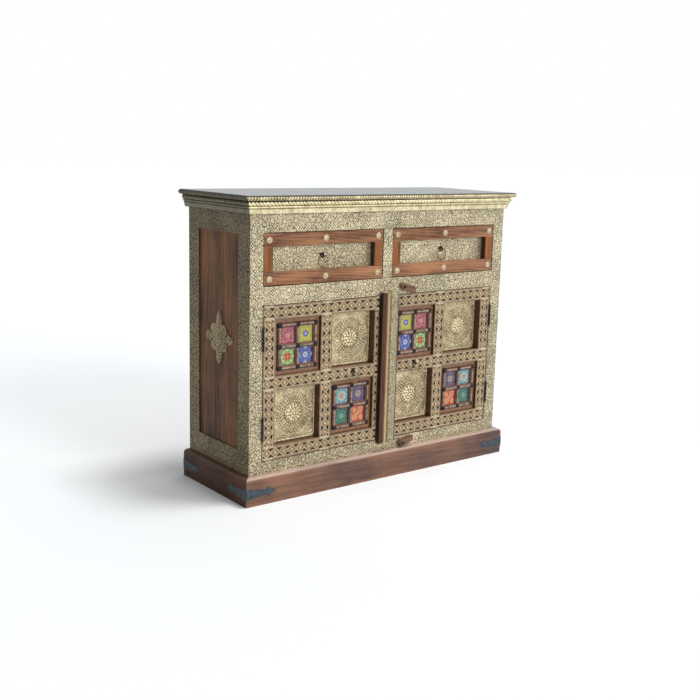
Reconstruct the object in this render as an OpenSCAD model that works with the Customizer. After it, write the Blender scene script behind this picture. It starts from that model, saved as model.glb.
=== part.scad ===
// Brass-clad sideboard chest: two drawers over two doors set with ceramic tiles.
// X runs to the right, Y to the back and Z up. The origin is at the middle of the footprint, on the floor.

/* [Plinth] */
// Height of the plinth
plinth_h = 85; // [60:1:120]
// How far the plinth stands out from the carcass
plinth_out = 22; // [12:1:28]
// How far the plinth boards reach in under the carcass
plinth_bearing = 8; // [4:1:14]
// Radius of the plinth's rounded top edge
plinth_round = 12; // [4:0.5:20]
// Thickness of the plinth's back board
plinth_back_t = 20; // [12:1:30]

/* [Carcass] */
// Width of the carcass over the brass
carcass_w = 1000; // [940:1:1200]
// Depth of the carcass over the brass
carcass_d = 350; // [320:1:450]
// Width of a front post, seen from the front
post_w = 43; // [38:1:60]
// Depth of a front post, seen from the side
post_d = 62; // [50:1:75]
// Width of the back stile of a side frame
back_stile_w = 60; // [40:1:75]
// Thickness of a side frame
side_t = 24; // [20:1:30]
// Height of the side frame's rail under its panel
side_rail_bottom = 68; // [50:1:90]
// Height of the side frame's rail over its panel
side_rail_top = 97; // [70:1:110]
// Depth of a side panel behind the face of its frame
panel_recess = 4.5; // [3:0.5:8]
// Thickness of a side panel
panel_t = 8; // [5:0.5:8.5]
// Width of the rebate that holds a side panel
panel_lip = 8; // [4:0.5:12]
// Thickness of the front rails
rail_t = 24; // [18:1:30]
// Thickness of the brass sheet
brass_t = 1.2; // [0.8:0.1:2]
// Thickness of the back panel
back_t = 6; // [4:0.5:10]
// Depth of the rebate behind the back panel
back_inset = 4; // [2:0.5:10]

/* [Front] */
// Height of the rail under the doors
bottom_rail_h = 38; // [32:1:50]
// Height of the door opening
door_opening_h = 465; // [440:1:540]
// Height of the rail between doors and drawers
middle_rail_h = 53; // [46:1:70]
// Height of the drawer opening
drawer_opening_h = 154; // [142:1:180]
// Height of the rail over the drawers
top_rail_h = 90; // [74:1:110]
// Width of the upright between the drawers
divider_w = 36; // [28:1:50]
// Thickness of the partition behind that upright
partition_t = 18; // [12:1:24]

/* [Inside] */
// Thickness of the bottom board
bottom_t = 18; // [12:1:24]
// Thickness of the board that the drawers slide on
dust_t = 12; // [8:1:18]
// Height of the guides beside the drawers
guide_h = 16; // [8:1:24]
// Height of the shelf's top over the middle of the doors
shelf_up = 3; // [-60:1:60]
// Thickness of the shelf
shelf_t = 16; // [12:1:22]
// Height and width of the cleats under the shelf
cleat = 18; // [12:1:24]
// Distance of the shelf behind the doors
shelf_setback = 5; // [3:1:30]

/* [Cornice] */
// Thickness of the top board
top_t = 15; // [12:1:22]
// Overhang of the top board, without its nosing
top_out = 22.5; // [18:0.5:30]
// Radius of the rope moulding
rope_r = 7.5; // [4:0.5:8]
// Overhang of the rope moulding
rope_out = 18.5; // [17:0.5:22]
// Height of the fillet under the rope
fillet_h = 22.5; // [18:0.5:32]
// Overhang of the fillet at its foot
fillet_out = 7; // [4:0.5:9]
// How much further out the fillet is at its groove than at its foot
fillet_lean = 4; // [2:0.5:5]
// Depth and half height of that groove
fillet_groove = 1.5; // [1:0.25:2]
// Radius of the bead over the groove
bead_r = 3; // [2:0.25:3.5]
// How far the top and its mouldings reach past the back of the carcass
cornice_back = 12; // [4:1:24]

/* [Drawers] */
// Gap round a drawer front
drawer_gap = 2; // [1:0.25:3]
// Width of the rails of the wooden frame on a drawer front
drawer_rail_w = 38; // [30:1:46]
// Width of the stiles of that frame
drawer_stile_w = 32; // [30:1:46]
// Thickness of that frame
drawer_frame_t = 21; // [14:0.5:24]
// Thickness of the drawer box's front board
drawer_front_t = 14; // [10:0.5:18]
// Thickness of a drawer's sides and back
drawer_side_t = 12; // [8:0.5:16]
// Height of a drawer's sides
drawer_side_h = 118; // [90:1:125]
// Gap between a drawer and the back panel
drawer_back_gap = 28; // [10:1:60]
// Thickness of a drawer's bottom
drawer_bottom_t = 6; // [4:0.5:9]
// Height of that bottom over the lower edge of the sides
drawer_bottom_z = 7; // [3:0.5:12]
// Running gap under a drawer
slide_gap = 0.3; // [0.2:0.05:0.6]
// Radius of a drawer's domed studs
stud_r = 10; // [6:0.5:12]
// Height of those studs
stud_h = 4; // [2:0.25:6]

/* [Doors] */
// Gap above and below a door
door_gap = 2; // [1:0.25:3]
// Gap between the two doors
meeting_gap = 3; // [2.5:0.25:5]
// How far the meeting strip lies left of the middle
meeting_offset = 26; // [14:1:32]
// Thickness of a door
door_t = 32; // [28:1:38]
// Thickness of a door's back board
door_back_t = 6; // [4:0.5:9]
// Width of the carved lattice strips
strip_w = 42; // [36:1:50]
// Width of the plain border on each side of a strip
border_w = 7; // [5:0.5:9]
// Depth of the cut triangles between the diamonds
pit_d = 3; // [1.5:0.25:5]
// Land left between two cut triangles
pit_land = 3; // [1.5:0.25:4]
// Length of one diamond along its strip, rounded to fit
diamond_l = 30; // [24:1:40]
// Width of the raised rim of a diamond
rim_w = 2.5; // [2:0.25:4.5]
// Depth of the sunk part inside the rim
sunk_d = 0.8; // [0.4:0.1:1.5]
// Length of the pointed boss in the middle of a diamond
boss_l = 10; // [7:0.5:12]
// Width of that boss
boss_w = 6; // [4:0.5:8]
// Height of that boss over the rim
boss_h = 1; // [0:0.1:1.5]

/* [Tiles] */
// Side of a ceramic tile
tile = 50; // [46:0.5:52]
// Thickness of a tile
tile_t = 7; // [5:0.5:8]
// Distance between the middles of two tiles
tile_pitch = 64; // [62:0.5:66]
// Clearance round a tile in its pocket
tile_clear = 0.3; // [0.2:0.05:0.5]
// Depth of the tile block behind the face of the door
tile_block_recess = 10; // [9:0.5:12]
// Radius of the half-round beads between the tiles
tile_bead_r = 7.8; // [7.4:0.1:8.2]
// Radius of the iron nail heads on the crossings
nail_r = 7.4; // [5:0.1:7.6]

/* [Medallions] */
// Thickness of the plate under a medallion
medallion_t = 1.6; // [1:0.1:2.5]
// Radius of the medallion's middle dome
dome_r = 32; // [28:1:36]
// Height of that dome
dome_h = 5.5; // [3:0.5:8]
// Radius of the boss on top of it
boss_r = 5; // [3.5:0.5:6]
// Radius of a petal on the dome
petal_r = 4.5; // [3.5:0.5:5]
// Count of the petals about the boss
petals = 8; // [6:1:9]
// Count of the petals in the outer ring
outer_petals = 12; // [10:1:14]
// Count of the tapered rays about the dome
rays = 20; // [12:1:24]
// Distance from the middle at which the rays end
ray_end = 54; // [48:1:56]
// Count of the dots about the rays
dots = 24; // [16:1:28]
// Distance of the dots from the middle
dot_ring = 62; // [60:1:66]
// Radius of a dot
dot_r = 2.5; // [2:0.25:3]
// Clearance round a plate in its recess
plate_clear = 0.3; // [0.2:0.05:0.5]

/* [Meeting strip] */
// Height of the meeting strip over the face of the doors
meeting_out = 16; // [12:0.5:20]
// Width of the reeded wood at its left edge
reeded_w = 17; // [12:0.5:19]
// Count of the reeds on that wood
reeds = 3; // [2:1:4]
// Radius of the bead beside the reeds
meeting_bead_r = 5.5; // [4:0.5:6.5]
// How far it reaches above and below the doors
meeting_over = 11; // [6:1:16]
// Clearance behind those ends
meeting_clear = 0.4; // [0.3:0.05:1]

/* [Hinges] */
// Radius of a hinge knuckle
knuckle_r = 3; // [2.6:0.1:4]
// Radius of a hinge pin
pin_r = 1.5; // [1:0.05:2]
// Running clearance round the pin
pin_clear = 0.05; // [0.02:0.01:0.1]
// Height of a hinge
hinge_h = 72; // [50:1:90]
// Distance of the hinges from the middle of the door's height
hinge_z = 134; // [110:1:150]
// Thickness of a hinge leaf
leaf_t = 1.2; // [1:0.1:1.3]
// Depth of a hinge leaf
leaf_d = 22; // [16:1:23]
// Gap between door and post at the hinges
hinge_gap = 3; // [2.8:0.1:4]

/* [Ring pulls] */
// Radius of a ring, to the middle of its wire
ring_r = 17.5; // [14:0.5:19]
// Radius of the ring's wire
wire_r = 1.4; // [1:0.1:1.8]
// Distance of the eye in front of what it is fixed to
eye_out = 7.5; // [6.5:0.1:9]
// Outer radius of the eye
eye_r = 4.4; // [3.8:0.1:5]
// Clearance of the wire in the eye
eye_clear = 0.3; // [0.2:0.05:0.5]
// Radius of the shank behind the eye
shank_r = 1.6; // [1.2:0.1:2]
// Radius of the rosette under the eye
rosette_r = 9; // [6:0.5:11]

/* [Turn buttons] */
// Length of a turn button from its pivot
button_l = 50; // [40:1:54]
// Radius of its round head
button_r = 12; // [9:0.5:13]
// Thickness of a turn button
button_t = 11; // [8:0.5:14]
// Distance of the upper pivot from the middle of the cabinet
upper_button_x = 65; // [62:1:90]
// Distance of the lower pivot from the middle of the cabinet
lower_button_x = 77; // [62:1:90]
// Height of the upper pivot over the door opening
upper_button_z = 24; // [20:0.5:30]
// Height of the lower pivot under the door opening
lower_button_z = 23; // [20:0.5:24]
// Slope of the upper button at rest, in degrees
upper_button_slope = 18; // [0:1:18]
// Slope of the lower button at rest, in degrees
lower_button_slope = 14; // [0:1:14]
// Radius of the pivot screws
pivot_r = 2.5; // [2:0.1:3.5]

/* [Ironwork] */
// Length of a corner strap's leg
strap_l = 100; // [80:1:120]
// Height of a strap at its corner
strap_h = 34; // [26:1:40]
// Height of the middle of a strap over the floor
strap_z = 39; // [30:1:44]
// Thickness of a strap
strap_t = 1.5; // [1:0.1:2.5]
// Radius of its nail heads
strap_nail_r = 3.5; // [2.5:0.25:4.5]

/* [Side plates] */
// Height of the arabesque plate on each side
plaque_h = 162; // [140:1:180]
// Thickness of that plate
plaque_t = 2.5; // [1.5:0.25:4]

/* [Hidden] */
$fn = 48;

LEFT = -1;
RIGHT = 1;
eps = 0.01;
far = 3000;

// Colours
brass = [0.72, 0.64, 0.44];
side_brass = [0.6, 0.53, 0.36];
red_wood = [0.52, 0.31, 0.2];
brown_wood = [0.4, 0.26, 0.18];
dark_wood = [0.2, 0.13, 0.1];
lattice_wood = [0.62, 0.53, 0.4];
inner_wood = [0.66, 0.52, 0.36];
iron = [0.24, 0.28, 0.32];
black_iron = [0.12, 0.12, 0.13];
tile_colour = [0.75, 0.78, 0.6];

// Places of the carcass
nosing_r = top_t / 2;
front = -(carcass_d + cornice_back - top_out - nosing_r) / 2;
back = front + carcass_d;
half = carcass_w / 2;
door_z0 = plinth_h + bottom_rail_h;
door_z1 = door_z0 + door_opening_h;
drawer_z0 = door_z1 + middle_rail_h;
drawer_z1 = drawer_z0 + drawer_opening_h;
carcass_top = drawer_z1 + top_rail_h;
opening = half - post_w;
inside = half - side_t;
back_panel_y = back - back_inset - back_t;
rope_z0 = carcass_top - 2 * rope_r;
fillet_z0 = rope_z0 - fillet_h;
plinth_t = plinth_out + plinth_bearing;
plaque_drawn_h = 162;

// Places of the doors
door_edge = opening - hinge_gap;
door_w = door_edge - 2;
door_bottom = door_z0 + door_gap;
door_top = door_z1 - door_gap;
door_h = door_top - door_bottom;
door_mid = (door_bottom + door_top) / 2;
window_w = (door_w - 3 * strip_w) / 2;
window_h = (door_h - 3 * strip_w) / 2;
inner_x = door_edge - door_w + strip_w + window_w / 2;
outer_x = inner_x + window_w + strip_w;
upper_z = door_mid + (strip_w + window_h) / 2;
lower_z = door_mid - (strip_w + window_h) / 2;
meeting_x = -meeting_offset;
lattice_t = door_t - door_back_t;
strip_edge = inner_x - window_w / 2;
pin_y = front - knuckle_r - 0.3;
pin_x = opening - hinge_gap / 2;

// Places of the drawers
drawer_in = divider_w / 2 + drawer_gap;
drawer_out = opening - drawer_gap;
drawer_w = drawer_out - drawer_in;
drawer_x = (drawer_in + drawer_out) / 2;
drawer_h = drawer_opening_h - 2 * drawer_gap;
drawer_mid = (drawer_z0 + drawer_z1) / 2;
drawer_side_z = drawer_z0 + slide_gap;
drawer_face = front + drawer_frame_t;

eye_hole = wire_r + eye_clear;

module block(x, y, z) {
    translate([x[0], y[0], z[0]]) cube([x[1] - x[0], y[1] - y[0], z[1] - z[0]]);
}

// A solid that is the same on the left and on the right
module both_sides() {
    children();
    mirror([1, 0, 0]) children();
}

module on_side(side) {
    if (side == LEFT) mirror([1, 0, 0]) children();
    else children();
}

// Lies in the XZ plane, with its thickness running forward from the plane y
module facing(y, t) {
    translate([0, y, 0]) rotate([90, 0, 0]) linear_extrude(t) children();
}

// Part of a ball, r at its foot and h high
module dome(r, h) {
    ball = (r * r + h * h) / (2 * h);
    intersection() {
        translate([0, 0, h - ball]) sphere(ball);
        cylinder(r = r + 1, h = h + 1);
    }
}

module rod_y(r, x, z, y) {
    translate([x, y[0], z]) rotate([-90, 0, 0]) cylinder(r = r, h = y[1] - y[0]);
}

// Moulding round front and sides: the child is its profile, outward and up, from z0 to z1.
// It ends at the distance past behind the carcass.
module wrapped(z0, z1, reach, past) {
    intersection() {
        translate([-half - reach, 0, 0]) rotate([90, 0, 90]) linear_extrude(2 * (half + reach)) {
            translate([front, 0]) mirror([1, 0]) children();
            translate([front, z0]) square([carcass_d + past, z1 - z0]);
        }
        translate([0, back + past, 0]) rotate([90, 0, 0]) linear_extrude(carcass_d + past + reach) {
            translate([half, 0]) children();
            translate([-half, 0]) mirror([1, 0]) children();
            translate([-half, z0]) square([carcass_w, z1 - z0]);
        }
    }
}

// The mouldings under the top go round the carcass, with a plain strip across its back
module round_carcass(z0, z1, reach) {
    difference() {
        wrapped(z0, z1, reach, cornice_back) children();
        block([-half, half], [front, back], [z0 - 1, z1 + 1]);
    }
}

module plinth_profile() {
    square([plinth_out - plinth_round, plinth_h]);
    square([plinth_out, plinth_h - plinth_round]);
    translate([plinth_out - plinth_round, plinth_h - plinth_round]) circle(plinth_round);
}

// Plan of one plinth board, mitred at the front corners
module plinth_board(plan) {
    color(brown_wood) intersection() {
        wrapped(0, plinth_h, plinth_out, 0) plinth_profile();
        translate([0, 0, -1]) linear_extrude(plinth_h + 2) polygon(plan);
    }
}

module plinth_front() {
    x = half + plinth_out;
    y = front - plinth_out;
    plinth_board([[-x, y], [x, y], [x - plinth_t, y + plinth_t], [plinth_t - x, y + plinth_t]]);
}

module plinth_side(side) {
    x = half + plinth_out;
    y = front - plinth_out;
    plinth_board([
        [side * x, y], [side * (x - plinth_t), y + plinth_t],
        [side * (x - plinth_t), back], [side * x, back]
    ]);
}

module plinth_left() plinth_side(LEFT);
module plinth_right() plinth_side(RIGHT);

module plinth_back() {
    x = half + plinth_out - plinth_t;
    color(brown_wood) block([-x, x], [back - plinth_back_t, back], [0, plinth_h]);
}

// A strap's leg: tapers to a neck and ends in a point with a lobe on each side
module strap_leg(past) {
    neck = strap_l * 0.74;
    lobe_r = strap_h * 0.17;
    tip_l = (strap_l - neck) * 1.3;
    polygon([
        [-past, -strap_h / 2], [neck, -strap_h * 0.2], [neck, strap_h * 0.2], [-past, strap_h / 2]
    ]);
    for (s = [-1, 1]) translate([neck + lobe_r / 2, s * strap_h * 0.25]) circle(lobe_r);
    translate([strap_l - tip_l / 2, 0]) rotate(90) leaf(strap_h / 2, tip_l);
}

module strap_nails() {
    for (s = [0.27, 0.84]) translate([strap_l * s, 0, 0]) dome(strap_nail_r, strap_nail_r * 0.6);
}

module corner_straps() {
    x = half + plinth_out;
    y = front - plinth_out;
    color(iron) both_sides() {
        translate([x, y, strap_z]) {
            mirror([1, 0, 0]) rotate([90, 0, 0]) {
                linear_extrude(strap_t) strap_leg(strap_t);
                translate([0, 0, strap_t - eps]) strap_nails();
            }
            rotate([90, 0, 90]) {
                linear_extrude(strap_t) strap_leg(strap_t);
                translate([0, 0, strap_t - eps]) strap_nails();
            }
        }
        translate([x, back, strap_z]) mirror([0, 1, 0]) rotate([90, 0, 90]) {
            linear_extrude(strap_t) strap_leg(0);
            translate([0, 0, strap_t - eps]) strap_nails();
        }
    }
}

// Board across the inside, notched round the front posts
module inner_board(y0, z) {
    block([-inside, inside], [front + post_d, back_panel_y], z);
    block([-opening, opening], [y0, front + post_d + 1], z);
}

module bottom_board() {
    color(inner_wood) inner_board(front + rail_t, [plinth_h, plinth_h + bottom_t]);
}

module side_frame(side) {
    panel_z0 = plinth_h + side_rail_bottom;
    panel_z1 = carcass_top - side_rail_top;
    skin = half - brass_t;
    color(brown_wood) on_side(side) difference() {
        union() {
            block([opening, skin], [front + brass_t, front + post_d], [plinth_h, carcass_top]);
            block([inside, skin], [front + post_d - 1, back], [plinth_h, carcass_top]);
        }
        block([0, far], [front + post_d, back - back_stile_w], [panel_z0, panel_z1]);
        block(
            [0, half - panel_recess],
            [front + post_d - panel_lip, back - back_stile_w + panel_lip],
            [panel_z0 - panel_lip, panel_z1 + panel_lip]
        );
    }
}

module side_frame_left() side_frame(LEFT);
module side_frame_right() side_frame(RIGHT);

module side_panel(side) {
    color(brown_wood) on_side(side) block(
        [half - panel_recess - panel_t, half - panel_recess],
        [front + post_d - panel_lip, back - back_stile_w + panel_lip],
        [plinth_h + side_rail_bottom - panel_lip, carcass_top - side_rail_top + panel_lip]
    );
}

module side_panel_left() side_panel(LEFT);
module side_panel_right() side_panel(RIGHT);

// Pointed leaf with arcs for its two edges
module leaf(w, h) {
    r = (h * h + w * w) / (4 * w);
    intersection() {
        translate([r - w / 2, 0]) circle(r, $fn = 96);
        translate([w / 2 - r, 0]) circle(r, $fn = 96);
    }
}

// Arabesque outline: a body of lobes, a trefoil on each side and a leaf above and below
module plaque_outline() {
    circle(38);
    for (s = [-1, 1]) {
        for (v = [-1, 1]) {
            translate([s * 27, v * 23]) circle(18);
            translate([s * 53, v * 9]) circle(8);
        }
        translate([0, s * 43]) leaf(34, 76);
        translate([s * 61, 0]) circle(13);
        translate([s * 68, 0]) rotate(90) leaf(14, 26);
    }
    square([106, 16], center = true);
}

// What stands out on a side plaque: a rosette, a boss in each lobe and a rib in each leaf
module plaque_relief() {
    rotate_extrude() polygon([[0, 0], [22, 0], [20, 1.6], [13, 1.6], [8, 3.4], [0, 3.8]]);
    for (s = [-1, 1]) {
        for (v = [-1, 1]) translate([s * 29, v * 25, 0]) cylinder(r1 = 8, r2 = 4, h = 1.6);
        translate([s * 61, 0, 0]) cylinder(r1 = 7, r2 = 3, h = 2);
        translate([0, s * 51, 0]) linear_extrude(1.2) leaf(13, 46);
    }
}

module side_plaques() {
    y = (front + post_d + back - back_stile_w) / 2;
    z = (plinth_h + side_rail_bottom + carcass_top - side_rail_top) / 2;
    color(brass) both_sides() translate([half - panel_recess, y, z]) rotate([90, 0, 90]) {
        linear_extrude(plaque_t) scale(plaque_h / plaque_drawn_h) plaque_outline();
        translate([0, 0, plaque_t - eps]) scale(plaque_h / plaque_drawn_h) plaque_relief();
    }
}

module front_rail(z0, z1) {
    block([-opening, opening], [front + brass_t, front + rail_t], [z0, z1]);
}

module top_rail() {
    color(brown_wood) front_rail(drawer_z1, carcass_top);
}

upper_pivot = [upper_button_x, door_z1 + upper_button_z];
lower_pivot = [lower_button_x, door_z0 - lower_button_z];

module pivot_hole(p) {
    rod_y(pivot_r + 0.1, p[0], p[1], [front - 1, front + rail_t + 1]);
}

module middle_rail() {
    color(brown_wood) difference() {
        front_rail(door_z1, drawer_z0);
        pivot_hole(upper_pivot);
    }
}

module bottom_rail() {
    color(brown_wood) difference() {
        front_rail(plinth_h, door_z0);
        pivot_hole(lower_pivot);
    }
}

module drawer_divider() {
    w = divider_w / 2;
    p = partition_t / 2;
    color(brown_wood) {
        block([-w, w], [front + brass_t, front + rail_t], [drawer_z0, drawer_z1]);
        block([-p, p], [front + rail_t - eps, back_panel_y], [drawer_z0, drawer_z1]);
    }
}

// Brass sheet over the whole front, cut out for the drawers and doors
module front_cladding() {
    color(brass) difference() {
        block([-half, half], [front, front + brass_t], [plinth_h, carcass_top]);
        block([-opening, opening], [front - 1, front + rail_t], [door_z0, door_z1]);
        both_sides()
            block([divider_w / 2, opening], [front - 1, front + rail_t], [drawer_z0, drawer_z1]);
        pivot_hole(upper_pivot);
        pivot_hole(lower_pivot);
    }
}

module side_cladding() {
    color(side_brass) both_sides() difference() {
        block([half - brass_t, half], [front + brass_t, back], [plinth_h, carcass_top]);
        block(
            [0, far], [front + post_d, back - back_stile_w],
            [plinth_h + side_rail_bottom, carcass_top - side_rail_top]
        );
    }
}

module cornice_fillet() {
    bead_z = rope_z0 - bead_r;
    groove_z = bead_z - bead_r - fillet_groove;
    neck = fillet_out + fillet_lean;
    color(brass) round_carcass(fillet_z0, rope_z0, rope_out) {
        polygon([
            [0, fillet_z0], [fillet_out, fillet_z0], [fillet_out, fillet_z0 + fillet_groove],
            [neck, groove_z - fillet_groove], [neck - fillet_groove, groove_z],
            [neck - fillet_groove, rope_z0], [0, rope_z0]
        ]);
        translate([neck, bead_z]) circle(bead_r);
        translate([0, bead_z]) square([neck, bead_r]);
    }
}

module rope_moulding() {
    color(brass) round_carcass(rope_z0, carcass_top, rope_out) {
        translate([0, rope_z0]) square([rope_out - rope_r, 2 * rope_r]);
        translate([rope_out - rope_r, rope_z0 + rope_r]) circle(rope_r);
    }
}

module top_board() {
    color(dark_wood) block(
        [-half - top_out, half + top_out], [front - top_out, back + cornice_back],
        [carcass_top, carcass_top + top_t]
    );
}

module top_nosing() {
    x = half + top_out;
    color(brass) difference() {
        wrapped(carcass_top, carcass_top + top_t, top_out + nosing_r, cornice_back) {
            translate([0, carcass_top]) square([top_out, top_t]);
            translate([top_out, carcass_top + nosing_r]) circle(nosing_r);
        }
        block([-x, x], [front - top_out, far], [carcass_top - 1, carcass_top + top_t + 1]);
    }
}

module back_panel() {
    color(inner_wood)
        block([-inside, inside], [back_panel_y, back_panel_y + back_t], [plinth_h, carcass_top]);
}

// The drawers run on this board, between the guides fixed on it
module dust_board() {
    color(inner_wood) {
        inner_board(front + rail_t, [drawer_z0 - dust_t, drawer_z0]);
        both_sides() {
            block(
                [opening, inside], [front + post_d, back_panel_y],
                [drawer_z0 - eps, drawer_z0 + guide_h]
            );
            block(
                [partition_t / 2, divider_w / 2], [front + rail_t, back_panel_y],
                [drawer_z0 - eps, drawer_z0 + guide_h]
            );
        }
    }
}

shelf_top = door_mid + shelf_up;
shelf_y = front + door_t + shelf_setback;

module shelf() {
    color(inner_wood) inner_board(shelf_y, [shelf_top - shelf_t, shelf_top]);
}

module shelf_cleats() {
    z1 = shelf_top - shelf_t;
    color(inner_wood) both_sides()
        block([inside - cleat, inside], [front + post_d - panel_lip, back_panel_y], [z1 - cleat, z1]);
}

// One hinge, its pin upright on the axis: the middle third of the knuckle is the door's
module hinge_leaf(x0, x1, thirds, hole) {
    third = hinge_h / 3;
    gap = 0.3;
    difference() {
        union() {
            for (i = thirds) {
                z0 = -hinge_h / 2 + i * third + gap / 2;
                translate([0, 0, z0]) cylinder(r = knuckle_r, h = third - gap);
                block([x0, x1], [0, knuckle_r + 1], [z0, z0 + third - gap]);
            }
            block([x0, x1], [knuckle_r + 0.6, knuckle_r + leaf_d], [-hinge_h / 2, hinge_h / 2]);
        }
        if (hole > 0) translate([0, 0, -hinge_h]) cylinder(r = hole, h = 2 * hinge_h);
    }
}

module at_hinges(side) {
    for (v = [-1, 1])
        translate([side * pin_x, pin_y, door_mid + v * hinge_z]) mirror([side == LEFT ? 1 : 0, 0, 0])
            children();
}

module hinge_plates() {
    color(iron) for (side = [LEFT, RIGHT])
        at_hinges(side) {
            hinge_leaf(hinge_gap / 2 - leaf_t, hinge_gap / 2, [0, 2], 0);
            translate([0, 0, -hinge_h / 2]) cylinder(r = pin_r, h = hinge_h);
        }
}

module door_hinges(side) {
    color(iron) at_hinges(side)
        hinge_leaf(-hinge_gap / 2, leaf_t - hinge_gap / 2, [1], pin_r + pin_clear);
}

// Turn buttons that hold the right door shut, on washers that keep them clear of its bosses
button_back = front - boss_h - 0.3;

module turn_button_pivots() {
    head = button_back - button_t - 0.2;
    color(black_iron) for (p = [upper_pivot, lower_pivot]) {
        rod_y(pivot_r, p[0], p[1], [head, front + rail_t - 3]);
        rod_y(pivot_r * 2.4, p[0], p[1], [front - boss_h, front]);
        translate([p[0], head, p[1]]) rotate([90, 0, 0])
            rotate_extrude() polygon([[0, 0], [6, 0], [5.2, 1.6], [3, 2.8], [0, 3.2]]);
    }
}

module button_outline(inset) {
    r = button_r - inset;
    l = button_l - inset;
    tip = r - 2;
    circle(r);
    polygon([[0, -r + 0.5], [l - 4, -tip], [l, 4 - tip], [l, tip - 4], [l - 4, tip], [0, r - 0.5]]);
}

module turn_button(p, slope) {
    edge = 3;
    color(brass) translate([p[0], button_back, p[1]]) rotate([90, 0, 0]) rotate(slope) difference() {
        union() {
            linear_extrude(button_t - edge) button_outline(0);
            linear_extrude(button_t) button_outline(2);
        }
        translate([0, 0, -1]) cylinder(r = pivot_r + pin_clear, h = button_t + 2);
    }
}

module upper_turn_button() turn_button(upper_pivot, -upper_button_slope);
module lower_turn_button() turn_button(lower_pivot, lower_button_slope);

// Ring pull: the eye's axis runs along X, through the point y, z
function drawer_eye_z() = drawer_mid + ring_r * 0.2;
function door_eye_z() = door_mid + 3;

module staple(x, z, surface, depth) {
    eye_y = surface - eye_out;
    color(black_iron) {
        difference() {
            union() {
                translate([x - 1.2, eye_y, z]) rotate([0, 90, 0]) cylinder(r = eye_r, h = 2.4);
                rod_y(shank_r, x, z, [eye_y + eye_hole + 0.6, depth + 2]);
            }
            translate([x - 5, eye_y, z]) rotate([0, 90, 0]) cylinder(r = eye_hole, h = 10);
        }
        facing(surface, 1.5) translate([x, z]) {
            circle(rosette_r * 0.6);
            for (a = [0 : 60 : 300]) rotate(a) translate([rosette_r * 0.65, 0]) circle(rosette_r * 0.35);
        }
        for (s = [-1, 1])
            block([x + s * 6 - 5, x + s * 6 + 5], [depth, depth + 1.6], [z - 1.4, z + 1.4]);
    }
}

module shank_hole(x, z) {
    rod_y(shank_r + 0.2, x, z, [front - 20, front + 60]);
}

module ring(x, z, surface) {
    color(black_iron) translate([x, surface - eye_out, z - ring_r]) rotate([90, 0, 0])
        rotate_extrude($fn = 96) translate([ring_r, 0]) circle(wire_r, $fn = 24);
}

// Drawers
module drawer_outline() {
    square([drawer_w, drawer_h], center = true);
}

module drawer_window(grow = 0) {
    square([drawer_w - 2 * drawer_stile_w + grow, drawer_h - 2 * drawer_rail_w + grow], center = true);
}

module drawer_frame(side) {
    color(red_wood) facing(drawer_face, drawer_frame_t) translate([side * drawer_x, drawer_mid])
        difference() {
            drawer_outline();
            drawer_window();
        }
}

module drawer_panel(side) {
    x = side * drawer_x;
    color(brass) difference() {
        facing(drawer_face, brass_t) translate([x, drawer_mid]) drawer_window(-2 * plate_clear);
        shank_hole(x, drawer_eye_z());
    }
}

module drawer_studs(side) {
    dx = (drawer_w - drawer_rail_w) / 2;
    dz = (drawer_h - drawer_rail_w) / 2;
    color(brass) for (i = [-1 : 1], j = [-1, 1])
        translate([side * drawer_x + i * dx, front, drawer_mid + j * dz]) rotate([90, 0, 0])
            dome(stud_r, stud_h);
}

module drawer_box(side) {
    x0 = drawer_in;
    x1 = drawer_out;
    y0 = drawer_face;
    y1 = y0 + drawer_front_t;
    y2 = back_panel_y - drawer_back_gap;
    z0 = drawer_side_z;
    z1 = z0 + drawer_side_h;
    t = drawer_side_t;
    color(inner_wood) difference() {
        on_side(side) {
            block([x0, x1], [y0, y1], [drawer_z0 + drawer_gap, drawer_z1 - drawer_gap]);
            block([x0, x0 + t], [y1 - eps, y2], [z0, z1]);
            block([x1 - t, x1], [y1 - eps, y2], [z0, z1]);
            block([x0, x1], [y2 - t, y2], [z0 + drawer_bottom_z, z1 - 8]);
            block(
                [x0 + t / 2, x1 - t / 2], [y1 - eps, y2],
                [z0 + drawer_bottom_z, z0 + drawer_bottom_z + drawer_bottom_t]
            );
        }
        shank_hole(side * drawer_x, drawer_eye_z());
    }
}

module drawer_staple(side) {
    staple(side * drawer_x, drawer_eye_z(), drawer_face - brass_t, drawer_face + drawer_front_t);
}

module drawer_ring(side) ring(side * drawer_x, drawer_eye_z(), drawer_face - brass_t);

// Doors
function left_edge(side) = side == LEFT ? -door_edge : meeting_x + meeting_gap / 2;
function right_edge(side) = side == LEFT ? meeting_x - meeting_gap / 2 : door_edge;

module door_outline(side, inset = 0) {
    x0 = left_edge(side) + inset;
    x1 = right_edge(side) - inset;
    translate([x0, door_bottom + inset]) square([x1 - x0, door_h - 2 * inset]);
}

module tile_cells(side) {
    translate([side == LEFT ? -outer_x : inner_x, upper_z]) children();
    translate([side == LEFT ? -inner_x : outer_x, lower_z]) children();
}

module medallion_cells(side) {
    translate([side == LEFT ? -inner_x : outer_x, upper_z]) children();
    translate([side == LEFT ? -outer_x : inner_x, lower_z]) children();
}

module window(grow = 0) {
    square([window_w + grow, window_h + grow], center = true);
}

// Row of diamonds along U, of length l: between each two stand a triangle above and one below
module diamond_pits(l) {
    n = round(l / diamond_l);
    p = l / n;
    w = strip_w / 2 - border_w;
    for (i = [0 : n], v = [-1, 1])
        translate([i * p, 0]) intersection() {
            polygon([
                [0, v * pit_land], [pit_land - p / 2, v * w], [p / 2 - pit_land, v * w]
            ]);
            translate([i == 0 ? 1.5 : -p, -w]) square([i == 0 || i == n ? p - 1.5 : 2 * p, 2 * w]);
        }
}

module diamond_centres(l) {
    n = round(l / diamond_l);
    p = l / n;
    for (i = [0 : n - 1]) translate([(i + 0.5) * p, 0]) children();
}

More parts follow.
